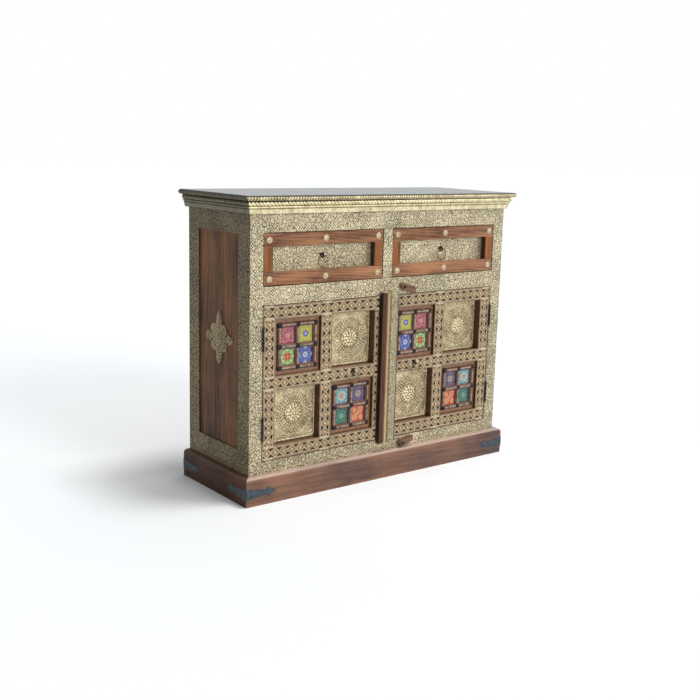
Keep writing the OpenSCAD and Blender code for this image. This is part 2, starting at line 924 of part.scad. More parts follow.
// Inside of the rim of one diamond, whose edges run along those of the cut triangles
module diamond_inside(l) {
    p = l / round(l / diamond_l) / 2;
    w = strip_w / 2 - border_w;
    slope = (w - pit_land) / (p - pit_land);
    u = p + pit_land / slope;
    v = u * slope;
    k = 1 - rim_w * norm([u, v]) / (u * v);
    polygon([[-k * u, 0], [0, -k * v], [k * u, 0], [0, k * v]]);
}

// Places a child along every strip of one door: rails first, then the stiles between them.
// On each strip the child starts at its end and runs along U; $l is the strip's length.
module along_strips(side) {
    x0 = door_edge - door_w;
    for (z = [door_bottom + strip_w / 2, door_mid, door_top - strip_w / 2])
        translate([side == LEFT ? -door_edge : x0, z]) {
            $l = door_w;
            children();
        }
    for (x = [inner_x - (window_w + strip_w) / 2, (inner_x + outer_x) / 2, door_edge - strip_w / 2])
        for (z = [lower_z, upper_z])
            translate([side * x, z - window_h / 2]) rotate(90) {
                $l = window_h;
                children();
            }
}

// Left of this line the right door is plain, under its meeting strip
module carved_area(side) {
    x0 = side == LEFT ? -door_edge : strip_edge;
    x1 = side == LEFT ? right_edge(LEFT) : door_edge;
    translate([x0, door_bottom]) square([x1 - x0, door_h]);
}

module door_lattice(side) {
    eye_x = side * inner_x;
    color(lattice_wood) difference() {
        union() {
            facing(front + lattice_t, lattice_t - pit_d) difference() {
                door_outline(side);
                tile_cells(side) window();
                medallion_cells(side) window();
            }
            facing(front + pit_d + eps, pit_d + eps) difference() {
                door_outline(side);
                tile_cells(side) window();
                medallion_cells(side) window();
                intersection() {
                    along_strips(side) diamond_pits($l);
                    carved_area(side);
                }
            }
        }
        facing(front + sunk_d, sunk_d + 1) intersection() {
            along_strips(side) diamond_centres($l) difference() {
                diamond_inside($l);
                leaf(boss_w, boss_l);
            }
            boss_area(side);
        }
        shank_hole(eye_x, door_eye_z());
    }
    color(lattice_wood) facing(front + eps, boss_h + eps) intersection() {
        along_strips(side) diamond_centres($l) leaf(boss_w, boss_l);
        boss_area(side);
    }
}

// The diamonds stay plain about the staple's rosette
module boss_area(side) {
    difference() {
        carved_area(side);
        translate([side * inner_x, door_eye_z()]) circle(rosette_r + boss_l);
    }
}

module door_back(side) {
    color(inner_wood) difference() {
        facing(front + door_t, door_back_t) door_outline(side, 1);
        shank_hole(side * inner_x, door_eye_z());
    }
}

// Height over the plate at a distance from the middle of the medallion's dome
function dome_level(reach) =
    let (ball = (dome_r * dome_r + dome_h * dome_h) / (2 * dome_h))
    dome_h - ball + sqrt(ball * ball - reach * reach);

module petal_ring(count, reach, turn = 0) {
    for (i = [0 : count - 1]) rotate((i + turn) * 360 / count)
        translate([reach, 0, dome_level(reach) - petal_r * 0.25]) dome(petal_r, petal_r * 0.7);
}

// Embossed plate: a dome with a boss and two rings of petals, a ring of tapered rays and one of dots
module medallion() {
    linear_extrude(medallion_t) window(-2 * plate_clear);
    translate([0, 0, medallion_t - eps]) {
        dome(dome_r, dome_h);
        translate([0, 0, dome_h - 1]) dome(boss_r, boss_r * 0.8);
        petal_ring(petals, dome_r * 0.38);
        petal_ring(outer_petals, dome_r * 0.76, 0.5);
        intersection() {
            for (i = [0 : rays - 1]) rotate(i * 360 / rays)
                translate([dome_r + 2, 0, -1]) rotate([0, 90, 0])
                    cylinder(r1 = 1.6, r2 = 3, h = ray_end - dome_r - 2);
            cylinder(r = ray_end + 5, h = 10);
        }
        for (i = [0 : dots - 1]) rotate((i + 0.5) * 360 / dots)
            translate([dot_ring, 0, 0]) dome(dot_r, dot_r * 0.6);
        for (i = [-1, 1], j = [-1, 1])
            translate([i * (window_w / 2 - 13), j * (window_h / 2 - 13), 0]) dome(7, 2.4);
    }
}

module medallions(side) {
    color(brass) translate([0, front + lattice_t, 0]) rotate([90, 0, 0])
        medallion_cells(side) medallion();
}

// Block with four tile pockets and half-round beads round them
module tile_block() {
    t = lattice_t - tile_block_recess;
    pocket = tile + 2 * tile_clear;
    bead_l = 2 * tile_pitch;
    difference() {
        union() {
            linear_extrude(t) window(-2 * plate_clear);
            intersection() {
                for (i = [-1 : 1], a = [0, 90])
                    rotate(a) translate([-bead_l / 2, i * tile_pitch, t]) rotate([0, 90, 0])
                        cylinder(r = tile_bead_r, h = bead_l);
                translate([0, 0, t / 2 + 50]) cube([window_w - 1, window_h - 1, 100 + t], center = true);
            }
        }
        for (i = [-1, 1], j = [-1, 1])
            translate([i * tile_pitch / 2, j * tile_pitch / 2, t - tile_t / 2 - 0.25])
                cube([pocket, pocket, tile_t + 0.5], center = true);
        for (i = [-1 : 1], j = [-1 : 1])
            translate([i * tile_pitch, j * tile_pitch, t]) cylinder(r = nail_r + 0.3, h = 20);
    }
}

module tile_blocks(side) {
    color(red_wood) translate([0, front + lattice_t, 0]) rotate([90, 0, 0])
        tile_cells(side) tile_block();
}

module tiles(side) {
    z = lattice_t - tile_block_recess - tile_t - 0.5;
    color(tile_colour) translate([0, front + lattice_t, 0]) rotate([90, 0, 0]) tile_cells(side)
        for (i = [-1, 1], j = [-1, 1])
            translate([(i * tile_pitch - tile) / 2, (j * tile_pitch - tile) / 2, z])
                cube([tile, tile, tile_t]);
}

module nails(side) {
    t = lattice_t - tile_block_recess;
    rim = 5;
    color(black_iron) translate([0, front + lattice_t, 0]) rotate([90, 0, 0]) tile_cells(side)
        for (i = [-1 : 1], j = [-1 : 1])
            translate([i * tile_pitch, j * tile_pitch, t]) {
                cylinder(r = nail_r, h = rim);
                translate([0, 0, rim - eps]) dome(nail_r, nail_r * 0.6);
            }
}

module door_staple(side) {
    staple(side * inner_x, door_eye_z(), front, front + door_t);
}

module door_ring(side) ring(side * inner_x, door_eye_z(), front);

// Profile of the meeting strip, across it and outward: reeded wood, bead and brass strip
module meeting_profile() {
    w = strip_edge - left_edge(RIGHT);
    pitch = reeded_w / reeds;
    reed_r = pitch * 0.56;
    square([w, meeting_out / 2]);
    square([reeded_w, meeting_out - reed_r]);
    intersection() {
        for (i = [0 : reeds - 1]) translate([(i + 0.5) * pitch, meeting_out - reed_r]) circle(reed_r);
        square([reeded_w, meeting_out + 1]);
    }
    translate([reeded_w + 2 + meeting_bead_r, meeting_out - meeting_bead_r]) circle(meeting_bead_r);
    intersection() {
        translate([w - 18, meeting_out - 42]) circle(40, $fn = 96);
        translate([w - 36, 0]) square([36, meeting_out]);
    }
}

module meeting_strip() {
    z0 = door_bottom - meeting_over;
    z1 = door_top + meeting_over;
    x0 = left_edge(RIGHT);
    color(red_wood) difference() {
        translate([x0, front, z0]) mirror([0, 1, 0]) linear_extrude(z1 - z0) meeting_profile();
        for (z = [[z0 - 1, door_bottom], [door_top, z1 + 1]])
            block([x0 - 1, strip_edge + 1], [front - meeting_clear, front + 1], z);
    }
}

module drawer_left_frame() drawer_frame(LEFT);
module drawer_left_panel() drawer_panel(LEFT);
module drawer_left_studs() drawer_studs(LEFT);
module drawer_left_box() drawer_box(LEFT);
module drawer_left_staple() drawer_staple(LEFT);
module drawer_left_ring() drawer_ring(LEFT);
module drawer_right_frame() drawer_frame(RIGHT);
module drawer_right_panel() drawer_panel(RIGHT);
module drawer_right_studs() drawer_studs(RIGHT);
module drawer_right_box() drawer_box(RIGHT);
module drawer_right_staple() drawer_staple(RIGHT);
module drawer_right_ring() drawer_ring(RIGHT);
module door_left_lattice() door_lattice(LEFT);
module door_left_back() door_back(LEFT);
module door_left_medallions() medallions(LEFT);
module door_left_tile_blocks() tile_blocks(LEFT);
module door_left_tiles() tiles(LEFT);
module door_left_nails() nails(LEFT);
module door_left_staple() door_staple(LEFT);
module door_left_ring() door_ring(LEFT);
module door_left_hinges() door_hinges(LEFT);
module door_right_lattice() door_lattice(RIGHT);
module door_right_back() door_back(RIGHT);
module door_right_medallions() medallions(RIGHT);
module door_right_tile_blocks() tile_blocks(RIGHT);
module door_right_tiles() tiles(RIGHT);
module door_right_nails() nails(RIGHT);
module door_right_staple() door_staple(RIGHT);
module door_right_ring() door_ring(RIGHT);
module door_right_hinges() door_hinges(RIGHT);

plinth_front();
plinth_left();
plinth_right();
plinth_back();
corner_straps();
bottom_board();
side_frame_left();
side_frame_right();
side_panel_left();
side_panel_right();
side_plaques();
top_rail();
middle_rail();
bottom_rail();
drawer_divider();
front_cladding();
side_cladding();
cornice_fillet();
rope_moulding();
top_board();
top_nosing();
back_panel();
dust_board();
shelf();
shelf_cleats();
hinge_plates();
turn_button_pivots();
upper_turn_button();
lower_turn_button();
drawer_left_frame();
drawer_left_panel();
drawer_left_studs();
drawer_left_box();
drawer_left_staple();
drawer_left_ring();
drawer_right_frame();
drawer_right_panel();
drawer_right_studs();
drawer_right_box();
drawer_right_staple();
drawer_right_ring();
door_left_lattice();
door_left_back();
door_left_medallions();
door_left_tile_blocks();
door_left_tiles();
door_left_nails();
door_left_staple();
door_left_ring();
door_left_hinges();
door_right_lattice();
door_right_back();
door_right_medallions();
door_right_tile_blocks();
door_right_tiles();
door_right_nails();
door_right_staple();
door_right_ring();
door_right_hinges();
meeting_strip();
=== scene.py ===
import math

import bmesh
import bpy
from mathutils import Matrix, Vector


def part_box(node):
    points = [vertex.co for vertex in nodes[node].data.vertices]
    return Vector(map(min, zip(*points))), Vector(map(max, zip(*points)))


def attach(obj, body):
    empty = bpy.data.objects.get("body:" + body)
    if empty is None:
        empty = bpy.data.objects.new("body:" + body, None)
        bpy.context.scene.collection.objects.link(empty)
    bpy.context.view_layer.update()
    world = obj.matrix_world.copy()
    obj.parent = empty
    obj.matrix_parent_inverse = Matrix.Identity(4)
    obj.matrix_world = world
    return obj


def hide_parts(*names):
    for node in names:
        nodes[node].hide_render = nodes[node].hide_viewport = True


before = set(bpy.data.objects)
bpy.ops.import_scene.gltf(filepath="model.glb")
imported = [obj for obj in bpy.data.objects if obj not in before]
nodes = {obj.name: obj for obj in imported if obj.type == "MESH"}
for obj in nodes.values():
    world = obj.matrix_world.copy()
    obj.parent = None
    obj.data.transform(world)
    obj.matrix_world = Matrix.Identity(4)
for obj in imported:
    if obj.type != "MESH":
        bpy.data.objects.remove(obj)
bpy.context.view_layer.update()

# The cabinet's main places and sizes, in metres. HALF is half the carcass's width, STRIP the width of a
# strip of the door lattices, and windows are the openings between strips.
MM = 0.001
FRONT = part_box("front_cladding")[0].y
CORNICE_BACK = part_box("top_board")[1].y
BACK_PANEL_RECESS = 0.004
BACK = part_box("back_panel")[1].y + BACK_PANEL_RECESS
HALF = 0.5
STRIP = 0.042
DOOR_MID = 0.3555
WINDOW_W = 0.163
WINDOW_H = 0.1675
INNER_X = 0.1255
OUTER_X = INNER_X + WINDOW_W + STRIP
UPPER_Z = DOOR_MID + (STRIP + WINDOW_H) / 2
LOWER_Z = DOOR_MID - (STRIP + WINDOW_H) / 2
LATTICE_BACK = FRONT + 0.026
TILE = 0.050
TILE_THICK = 0.007
TILE_PITCH = 0.064
TILE_RECESS = 0.010
TILE_BED = 0.0005
DRAWER_X = 0.2375
DRAWER_Z = 0.718
DRAWER_W = 0.435
DRAWER_H = 0.150
DRAWER_RAIL = 0.038
DRAWER_STILE = 0.032
DRAWER_DEEP = 0.021
DRAWER_ROUNDING = 0.0018
STILE_RECESS = 0.0003
STRIP_LEFT = -0.0245
ROUND_RADIUS = 0.0075
ROPE_OUT = 0.011
ROPE_Z = 0.8775
NOSING_OUT = 0.0225
NOSING_Z = 0.8925
# Above this height the nosing is painted dark, as shade at its top
NOSING_DARK_Z = 0.8956

# Turns metres into millimetres in the shaders
IN_MM = 1000.0


# Shader nodes, written as sums

class Num:
    """A number that shader nodes work out."""

    def __init__(self, tree, socket):
        self.tree = tree
        self.socket = socket

    def do(self, operation, *others):
        node = self.tree.nodes.new("ShaderNodeMath")
        node.operation = operation
        for place, value in zip(node.inputs, (self, *others)):
            put(place, value)
        return Num(self.tree, node.outputs[0])

    def __add__(self, other):
        return self.do("ADD", other)

    def __sub__(self, other):
        return self.do("SUBTRACT", other)

    def __mul__(self, other):
        return self.do("MULTIPLY", other)

    def __truediv__(self, other):
        return self.do("DIVIDE", other)

    def __rsub__(self, other):
        return (self * -1.0) + other


def put(place, value):
    """Links a node's output to an input, or writes a plain value in it."""
    if isinstance(value, Num):
        value.tree.links.new(value.socket, place)
    elif isinstance(value, bpy.types.NodeSocket):
        place.id_data.links.new(value, place)
    elif isinstance(value, tuple):
        place.default_value = (*value, 1)
    else:
        place.default_value = value


def low(a, b):
    return a.do("MINIMUM", b)


def high(a, b):
    return a.do("MAXIMUM", b)


def fract(a):
    return a.do("FRACT")


def size(a):
    return a.do("ABSOLUTE")


def sine(a):
    return a.do("SINE")


def cosine(a):
    return a.do("COSINE")


def length(a, b):
    return (a * a + b * b).do("SQRT")


def angle(a, b):
    """The angle of the point (a, b)."""
    return b.do("ARCTAN2", a)


def nearest(a, *places):
    """Distance from a to the nearest of the places."""
    distance = size(a - places[0])
    for place in places[1:]:
        distance = low(distance, size(a - place))
    return distance


def step(a, start, end, first=0.0, last=1.0):
    """first where a is at start, last where it is at end, with a soft change between."""
    node = a.tree.nodes.new("ShaderNodeMapRange")
    node.interpolation_type = "SMOOTHSTEP"
    if start > end:
        start, end, first, last = end, start, last, first
    put(node.inputs["Value"], a)
    for key, value in (("From Min", start), ("From Max", end), ("To Min", first), ("To Max", last)):
        put(node.inputs[key], value)
    return Num(a.tree, node.outputs[0])


def blend(a, b, amount):
    """Colour a where amount is 0 and b where it is 1."""
    node = amount.tree.nodes.new("ShaderNodeMix")
    node.data_type = "RGBA"
    put(node.inputs[0], amount)
    put(node.inputs[6], a)
    put(node.inputs[7], b)
    return node.outputs[2]


def shaded(colour, amount):
    """The colour, multiplied by an amount."""
    node = amount.tree.nodes.new("ShaderNodeVectorMath")
    node.operation = "SCALE"
    put(node.inputs[0], colour)
    put(node.inputs["Scale"], amount)
    return node.outputs[0]


def srgb(r, g, b):
    """Screen values from 0 to 255, as the shader's colour."""
    return tuple((v / 255 / 12.92) if v <= 10 else ((v / 255 + 0.055) / 1.055) ** 2.4 for v in (r, g, b))


def empty_tree(block):
    """The cleared node tree of a new material or world."""
    block.use_nodes = True
    block.node_tree.nodes.clear()
    return block.node_tree


class Paint:
    """A material in the making; x, y and z are places on the piece, in metres."""

    def __init__(self, name):
        self.material = bpy.data.materials.new(name)
        self.tree = empty_tree(self.material)
        self.shader = self.tree.nodes.new("ShaderNodeBsdfPrincipled")
        put(self.tree.nodes.new("ShaderNodeOutputMaterial").inputs[0], self.shader.outputs[0])
        where = self.tree.nodes.new("ShaderNodeTexCoord").outputs["Object"]
        parts = self.tree.nodes.new("ShaderNodeSeparateXYZ")
        put(parts.inputs[0], where)
        self.x, self.y, self.z = (Num(self.tree, socket) for socket in parts.outputs)

    def texture(self, kind, x, y, z):
        """A new texture node that is read at a place."""
        node = self.tree.nodes.new(kind)
        vector = self.tree.nodes.new("ShaderNodeCombineXYZ")
        for place, value in zip(vector.inputs, (x, y, z)):
            put(place, value)
        put(node.inputs["Vector"], vector.outputs[0])
        put(node.inputs["Scale"], 1.0)
        return node

    def noise(self, x, y, z, detail, rough=0.5, twist=0.0):
        node = self.texture("ShaderNodeTexNoise", x, y, z)
        put(node.inputs["Detail"], detail)
        put(node.inputs["Roughness"], rough)
        put(node.inputs["Distortion"], twist)
        return Num(self.tree, node.outputs[0])

    def cloud(self, scale, detail, rough=0.5, twist=0.0):
        """Noise that is alike along all axes, with so many cells to the metre."""
        return self.noise(self.x * scale, self.y * scale, self.z * scale, detail, rough, twist)

    def spots(self, x, y, z, feature="F1"):
        """Distance to the nearest of scattered points, about one in each unit."""
        node = self.texture("ShaderNodeTexVoronoi", x, y, z)
        node.feature = feature
        return Num(self.tree, node.outputs["Distance"])

    def scattered(self, u, v, loose):
        """Distance and angle about the nearest of scattered points of a plane, about one in each unit."""
        node = self.texture("ShaderNodeTexVoronoi", u, v, 0.0)
        node.voronoi_dimensions = "2D"
        put(node.inputs["Randomness"], loose)
        parts = self.tree.nodes.new("ShaderNodeSeparateXYZ")
        put(parts.inputs[0], node.outputs["Position"])
        a, b = u - Num(self.tree, parts.outputs[0]), v - Num(self.tree, parts.outputs[1])
        return Num(self.tree, node.outputs["Distance"]), angle(a, b)

    def hollow(self):
        """The vertices' own mark, 1 in the hollows of a relief, and 0 on a mesh without marks."""
        node = self.tree.nodes.new("ShaderNodeAttribute")
        node.attribute_name = "hollow"
        return Num(self.tree, node.outputs["Fac"])

    def ramp(self, amount, *stops):
        """The colour for an amount; stops lists (amount, colour)."""
        node = self.tree.nodes.new("ShaderNodeValToRGB")
        while len(node.color_ramp.elements) < len(stops):
            node.color_ramp.elements.new(0.5)
        for element, (place, colour) in zip(node.color_ramp.elements, stops):
            element.position = place
            element.color = (*colour, 1)
        put(node.inputs[0], amount)
        return node.outputs[0]

    def finish(self, colour, rough, relief, depth, **constants):
        """Sets the shader: constants are its plain values, by socket name with _ for a space."""
        put(self.shader.inputs["Base Color"], colour)
        put(self.shader.inputs["Roughness"], rough)
        for key, value in constants.items():
            put(self.shader.inputs[key.replace("_", " ")], value)
        node = self.tree.nodes.new("ShaderNodeBump")
        put(node.inputs["Strength"], 1.0)
        put(node.inputs["Distance"], depth)
        put(node.inputs["Height"], relief)
        put(self.shader.inputs["Normal"], node.outputs[0])
        return self.material


# Brass

BRASS_HIGH = srgb(255, 246, 214)
BRASS_MID = srgb(184, 168, 132)
BRASS_LOW = srgb(62, 50, 32)

# Millimetres from one small flower to the next
SMALL_FLOWER = 8.4


def stamped(paint, u, v, pitch, cell):
    """Relief of a stamped sheet, 0 to 1, and its dark pits: rosettes in beaded rings on slanting rows of
    dots, with small flowers here and there. u, v, the rosettes' pitch and the dots' cell are in mm."""
    sway = paint.noise(u * 0.04, v * 0.04, 3.0, detail=2.0) * 14.0
    u = u + sway
    v = v - sway
    row = v / pitch
    across = fract(u / pitch + fract(row.do("FLOOR") * 0.5)) - 0.5
    upward = fract(row) - 0.5
    r, turn = length(across, upward), angle(across, upward)
    petals = r - cosine(turn * 8.0) * 0.04 - 0.13
    rosette = high(step(petals, 0.02, -0.02) * step(r, 0.04, 0.08), step(r, 0.05, 0.02))
    beads = step(size(r - 0.235), 0.045, 0.01) * (cosine(turn * 16.0) * 0.5 + 0.5)
    dot, _ = paint.scattered((u + v) / cell, (u - v) / cell, 0.25)
    off, around = paint.scattered(u / SMALL_FLOWER, v / SMALL_FLOWER, 0.6)
    small_petals = step(off - cosine(around * 5.0) * 0.08, 0.42, 0.3) * step(off, 0.1, 0.17)
    small = small_petals + step(off, 0.1, 0.04)
    strewn = step(paint.noise(u * 0.03, v * 0.03, 8.0, detail=1.0), 0.44, 0.56)
    outside = step(r, 0.27, 0.3)
    ground = step(dot, 0.42, 0.24) * (1.0 - strewn) + small * strewn
    pits = step(dot, 0.4, 0.6) * (1.0 - strewn) + step(off, 0.5, 0.75) * strewn * 0.35
    between = step(size(r - 0.18), 0.03, 0.01)
    return high(high(rosette, beads), ground * outside), high(pits * outside, between * 0.6)


def brass(name, along, bright, metal=0.85, rough=0.4, depth=0.0007, pitch=40.0, cell=11.0, spec=0.5,
          tint=(1.0, 1.0, 1.0), upper=0.1):
    """Stamped sheet brass; along names the sheet's two axes, upper is painted light added to its upper part,
    and painted shade there where it is below 0.
    """
    paint = Paint(name)
    u, v = (getattr(paint, axis) * IN_MM for axis in along)
    relief, pits = stamped(paint, u, v, pitch, cell)
    wear_and_sheen = paint.noise(u * 0.012, v * 0.012, 7.0, detail=4.0)
    fine = paint.noise(u * 0.2, v * 0.2, 2.0, detail=3.0)
    level = relief * 0.52 - pits * 0.27 + (fine - 0.5) * 0.85 + (wear_and_sheen - 0.5) * 0.3 + 0.3
    tones = [tuple(a * b for a, b in zip(tone, tint)) for tone in (BRASS_LOW, BRASS_MID, BRASS_HIGH)]
    colour = paint.ramp(level, *zip((0.0, 0.4, 0.8), tones))
    # Painted light on the upper part, by upper; painted shade there where upper is below 0
    light = (wear_and_sheen * 0.6 + 0.66 + step(paint.z, 0.3, 0.84) * upper) * bright
    return paint.finish(shaded(colour, light), (1.0 - relief) * 0.2 + rough - 0.08, relief - pits * 0.4,
                        depth, Metallic=metal, Specular_IOR_Level=spec)


def moulding_brass(name, bright, grooves=(), dark_above=None):
    """Brass on a moulding: fine cross lines, dull in the hollows, and darker and less metallic at the
    cabinet's sides as painted shade. grooves lists (height, half width) of its dark lines, painted shade in
    the moulding's steps; above dark_above it is painted dark, as shade at its top."""
    paint = Paint(name)
    broad = paint.cloud(60.0, detail=4.0)
    fine = paint.cloud(420.0, detail=2.0)
    along = (paint.x + paint.y) * IN_MM
    relief = sine(along * 1.4) * 0.25 + 0.5 + (fine - 0.5) * 0.8
    level = broad * 0.5 + fine * 0.4 + relief * 0.25 - paint.hollow() * 0.5 + 0.05
    colour = paint.ramp(level, (0.1, BRASS_LOW), (0.42, srgb(182, 164, 122)), (0.72, srgb(252, 240, 200)))
    # The grooves' dark lines are painted shade in the moulding's steps
    for height, half_wide in grooves:
        line = step(size(paint.z - height), half_wide, half_wide * 0.3)
        colour = blend(colour, srgb(92, 82, 54), line * 0.8)
    # Painted shade along the top of the moulding, above dark_above
    if dark_above is not None:
        shadow = step(paint.z, dark_above - 0.0008, dark_above + 0.0008)
        colour = blend(colour, srgb(52, 50, 44), shadow * 0.9)
    # Painted shade at the cabinet's sides: darker and less metallic there
    side = step(high(size(paint.x) - HALF, -0.01) + paint.y - FRONT, 0.0, 0.0008)
    put(paint.shader.inputs["Metallic"], side * -0.6 + 0.85)
    light = (broad * 0.3 + bright - 0.15) * (1.0 - side * 0.74)
    return paint.finish(shaded(colour, light), side * 0.1 + 0.34, relief, 0.0003, Specular_IOR_Level=0.3)


def relief_brass(name, bright, stipple=3.6):
    """Brass for pieces whose relief is in the mesh; the ground between is stippled, each dot so many mm."""
    paint = Paint(name)
    u, v = paint.x * IN_MM, paint.z * IN_MM
    dots = step(paint.spots(u / stipple, v / stipple, 0.0), 0.55, 0.15)
    broad = paint.noise(u * 0.03, v * 0.03, 4.0, detail=4.0)
    fine = paint.noise(u * 0.3, v * 0.3, 1.0, detail=3.0)
    hollow = paint.hollow()
    level = dots * 0.3 + broad * 0.3 + fine * 0.45 - hollow * 0.4
    colour = paint.ramp(level, (0.02, BRASS_LOW), (0.4, BRASS_MID), (0.75, BRASS_HIGH))
    light = broad * 0.4 + bright - 0.2
    return paint.finish(shaded(colour, light), hollow * 0.15 + 0.36, dots, 0.0004, Metallic=0.8)


# Wood

def wood(name, grain, dark, light, seed, coat=0.0, rough=0.42, streaks=0.5, scale=1.0, wear_and_sheen=None, spec=0.5,
         depth=0.00015, dark_behind=None):
    """Varnished wood with its grain along one axis: broad figure, growth lines, pores and stains. worn is
    (axis, start, end, tint) of an edge painted pale as a highlight; behind the y of dark_behind it's painted
    dark, as shadow."""
    paint = Paint(name)
    stretch = {axis: (0.07 if axis == grain else 1.0) for axis in "xyz"}
    x, y, z = (getattr(paint, axis) * (stretch[axis] * scale) for axis in "xyz")
    shift = seed * 3.7
    drift = paint.noise(x * 9.0 + shift, y * 9.0, z * 9.0, detail=2.0, twist=0.6)
    figure = paint.noise(x * 34.0 + shift, y * 34.0 + drift * 1.4, z * 34.0, detail=5.0, rough=0.58,
                         twist=0.8)
    lines = sine((x + y + z) * 420.0 + drift * 34.0 + figure * 9.0) * 0.5 + 0.5
    fine = paint.noise(x * 330.0, y * 330.0 + shift, z * 330.0, detail=3.0, rough=0.6)
    pores = step(paint.noise(x * 620.0 + shift, y * 620.0, z * 620.0, detail=2.0), 0.63, 0.72)
    stain = paint.noise(paint.x * 7.0 + shift, paint.y * 7.0, paint.z * 7.0 + 5.0, detail=4.0)
    level = (figure - 0.5) * 1.1 + lines * 0.16 * streaks + fine * 0.26 + (stain - 0.5) * 0.9 + 0.3
    middle = tuple((a + b) / 2 for a, b in zip(dark, light))
    colour = paint.ramp(level, (0.22, dark), (0.48, middle), (0.78, light))
    colour = blend(colour, tuple(c * 0.35 for c in dark), pores * 0.55)
    # A painted highlight along an edge, in streaks that follow the figure
    if wear_and_sheen is not None:
        axis, start, end, tint = wear_and_sheen
        edge = step(getattr(paint, axis), start, end) * step(figure + fine * 0.4, 0.4, 0.75)
        colour = blend(colour, tint, edge * 0.7)
    # Painted shadow on the faces behind dark_behind
    if dark_behind is not None:
        colour = shaded(colour, step(paint.y, dark_behind, dark_behind + 0.002) * -0.85 + 1.0)
    relief = fine * 0.35 + lines * 0.2 - pores * 0.6
    return paint.finish(colour, fine * 0.16 + rough - 0.06, relief, depth,
                        Coat_Weight=coat, Coat_Roughness=0.2, Specular_IOR_Level=spec)


def carved_wood():
    """The lattices: pale on the lands and bosses, with a browner border along each strip, brown where they
    are sunk, dark in the pits, and with painted shade on the windows' walls."""
    paint = Paint("carved_wood")
    u, v = paint.x * IN_MM, paint.z * IN_MM
    under = (paint.y - FRONT) * IN_MM
    broad = paint.noise(u * 0.012, v * 0.012, 5.0, detail=4.0)
    fine = paint.noise(u * 0.35, v * 0.35, under * 0.3, detail=3.0)
    coarse = paint.noise(u * 0.09, v * 0.09, 2.0, detail=2.0)
    mottle = fine * 0.6 + coarse * 0.5
    land = paint.ramp(mottle, (0.3, srgb(156, 134, 104)), (0.6, srgb(206, 188, 158)),
                      (0.85, srgb(232, 218, 190)))
    sunk = paint.ramp(mottle, (0.3, srgb(118, 98, 70)), (0.75, srgb(178, 152, 114)))
    pit = paint.ramp(coarse, (0.35, srgb(56, 42, 26)), (0.7, srgb(98, 76, 52)))
    boss = paint.ramp(fine, (0.3, srgb(190, 165, 118)), (0.7, srgb(236, 222, 184)))
    border = paint.ramp(mottle, (0.3, srgb(104, 80, 58)), (0.8, srgb(182, 154, 122)))
    # Painted shade on the windows' walls, deep in the openings
    wall_shade = paint.ramp(mottle, (0.3, srgb(52, 33, 24)), (0.8, srgb(108, 73, 54)))
    off_rail = nearest(paint.z, DOOR_MID, DOOR_MID - STRIP - WINDOW_H, DOOR_MID + STRIP + WINDOW_H)
    off_stile = nearest(size(paint.x), (INNER_X + OUTER_X) / 2, INNER_X - (WINDOW_W + STRIP) / 2,
                        OUTER_X + (WINDOW_W + STRIP) / 2)
    off_strip = low(off_rail, off_stile) * IN_MM
    colour = blend(land, border, step(off_strip, 15.4, 16.2))
    for tone, start, end in ((boss, -0.1, -0.5), (sunk, 0.25, 0.6), (pit, 1.0, 2.4), (wall_shade, 3.1, 4.2)):
        colour = blend(colour, tone, step(under, start, end))
    return paint.finish(shaded(colour, broad * 0.5 + 0.9), fine * 0.2 + 0.4, fine + coarse, 0.0003,
                        Metallic=0.12, Specular_IOR_Level=0.4)


def tile_block_wood():
    """Tile blocks: brown between the tiles, with dark glossy beads and a pale highlight painted along their
    ridges.
    """
    paint = Paint("tile_block_wood")
    proud = (FRONT + TILE_RECESS - paint.y) * IN_MM
    figure = paint.cloud(90.0, detail=5.0, twist=0.8)
    fine = paint.cloud(500.0, detail=3.0)
    block = paint.ramp(figure * 0.7 + fine * 0.4, (0.3, srgb(116, 74, 50)), (0.8, srgb(196, 146, 108)))
    bead = paint.ramp(figure * 0.6 + fine * 0.4, (0.3, srgb(66, 42, 31)), (0.8, srgb(156, 114, 88)))
    # A painted highlight along the beads' ridges
    ridge_highlight = step(proud, 7.3, 7.75) * step(figure, 0.3, 0.6)
    colour = blend(block, bead, step(proud, 0.5, 3.0))
    colour = blend(colour, srgb(214, 190, 176), ridge_highlight * 0.75)
    return paint.finish(colour, fine * 0.1 + 0.2, figure + fine * 0.3, 0.0002,
                        Coat_Weight=0.35, Coat_Roughness=0.08, Specular_IOR_Level=0.35)


# Dark lines of the meeting strip, painted shade in its creases: place and half width in mm, depth from 0 to 1
STRIP_LINES = ((5.67, 0.8, 0.55), (11.33, 0.8, 0.55), (18.0, 1.6, 0.85), (31.2, 1.2, 0.4))


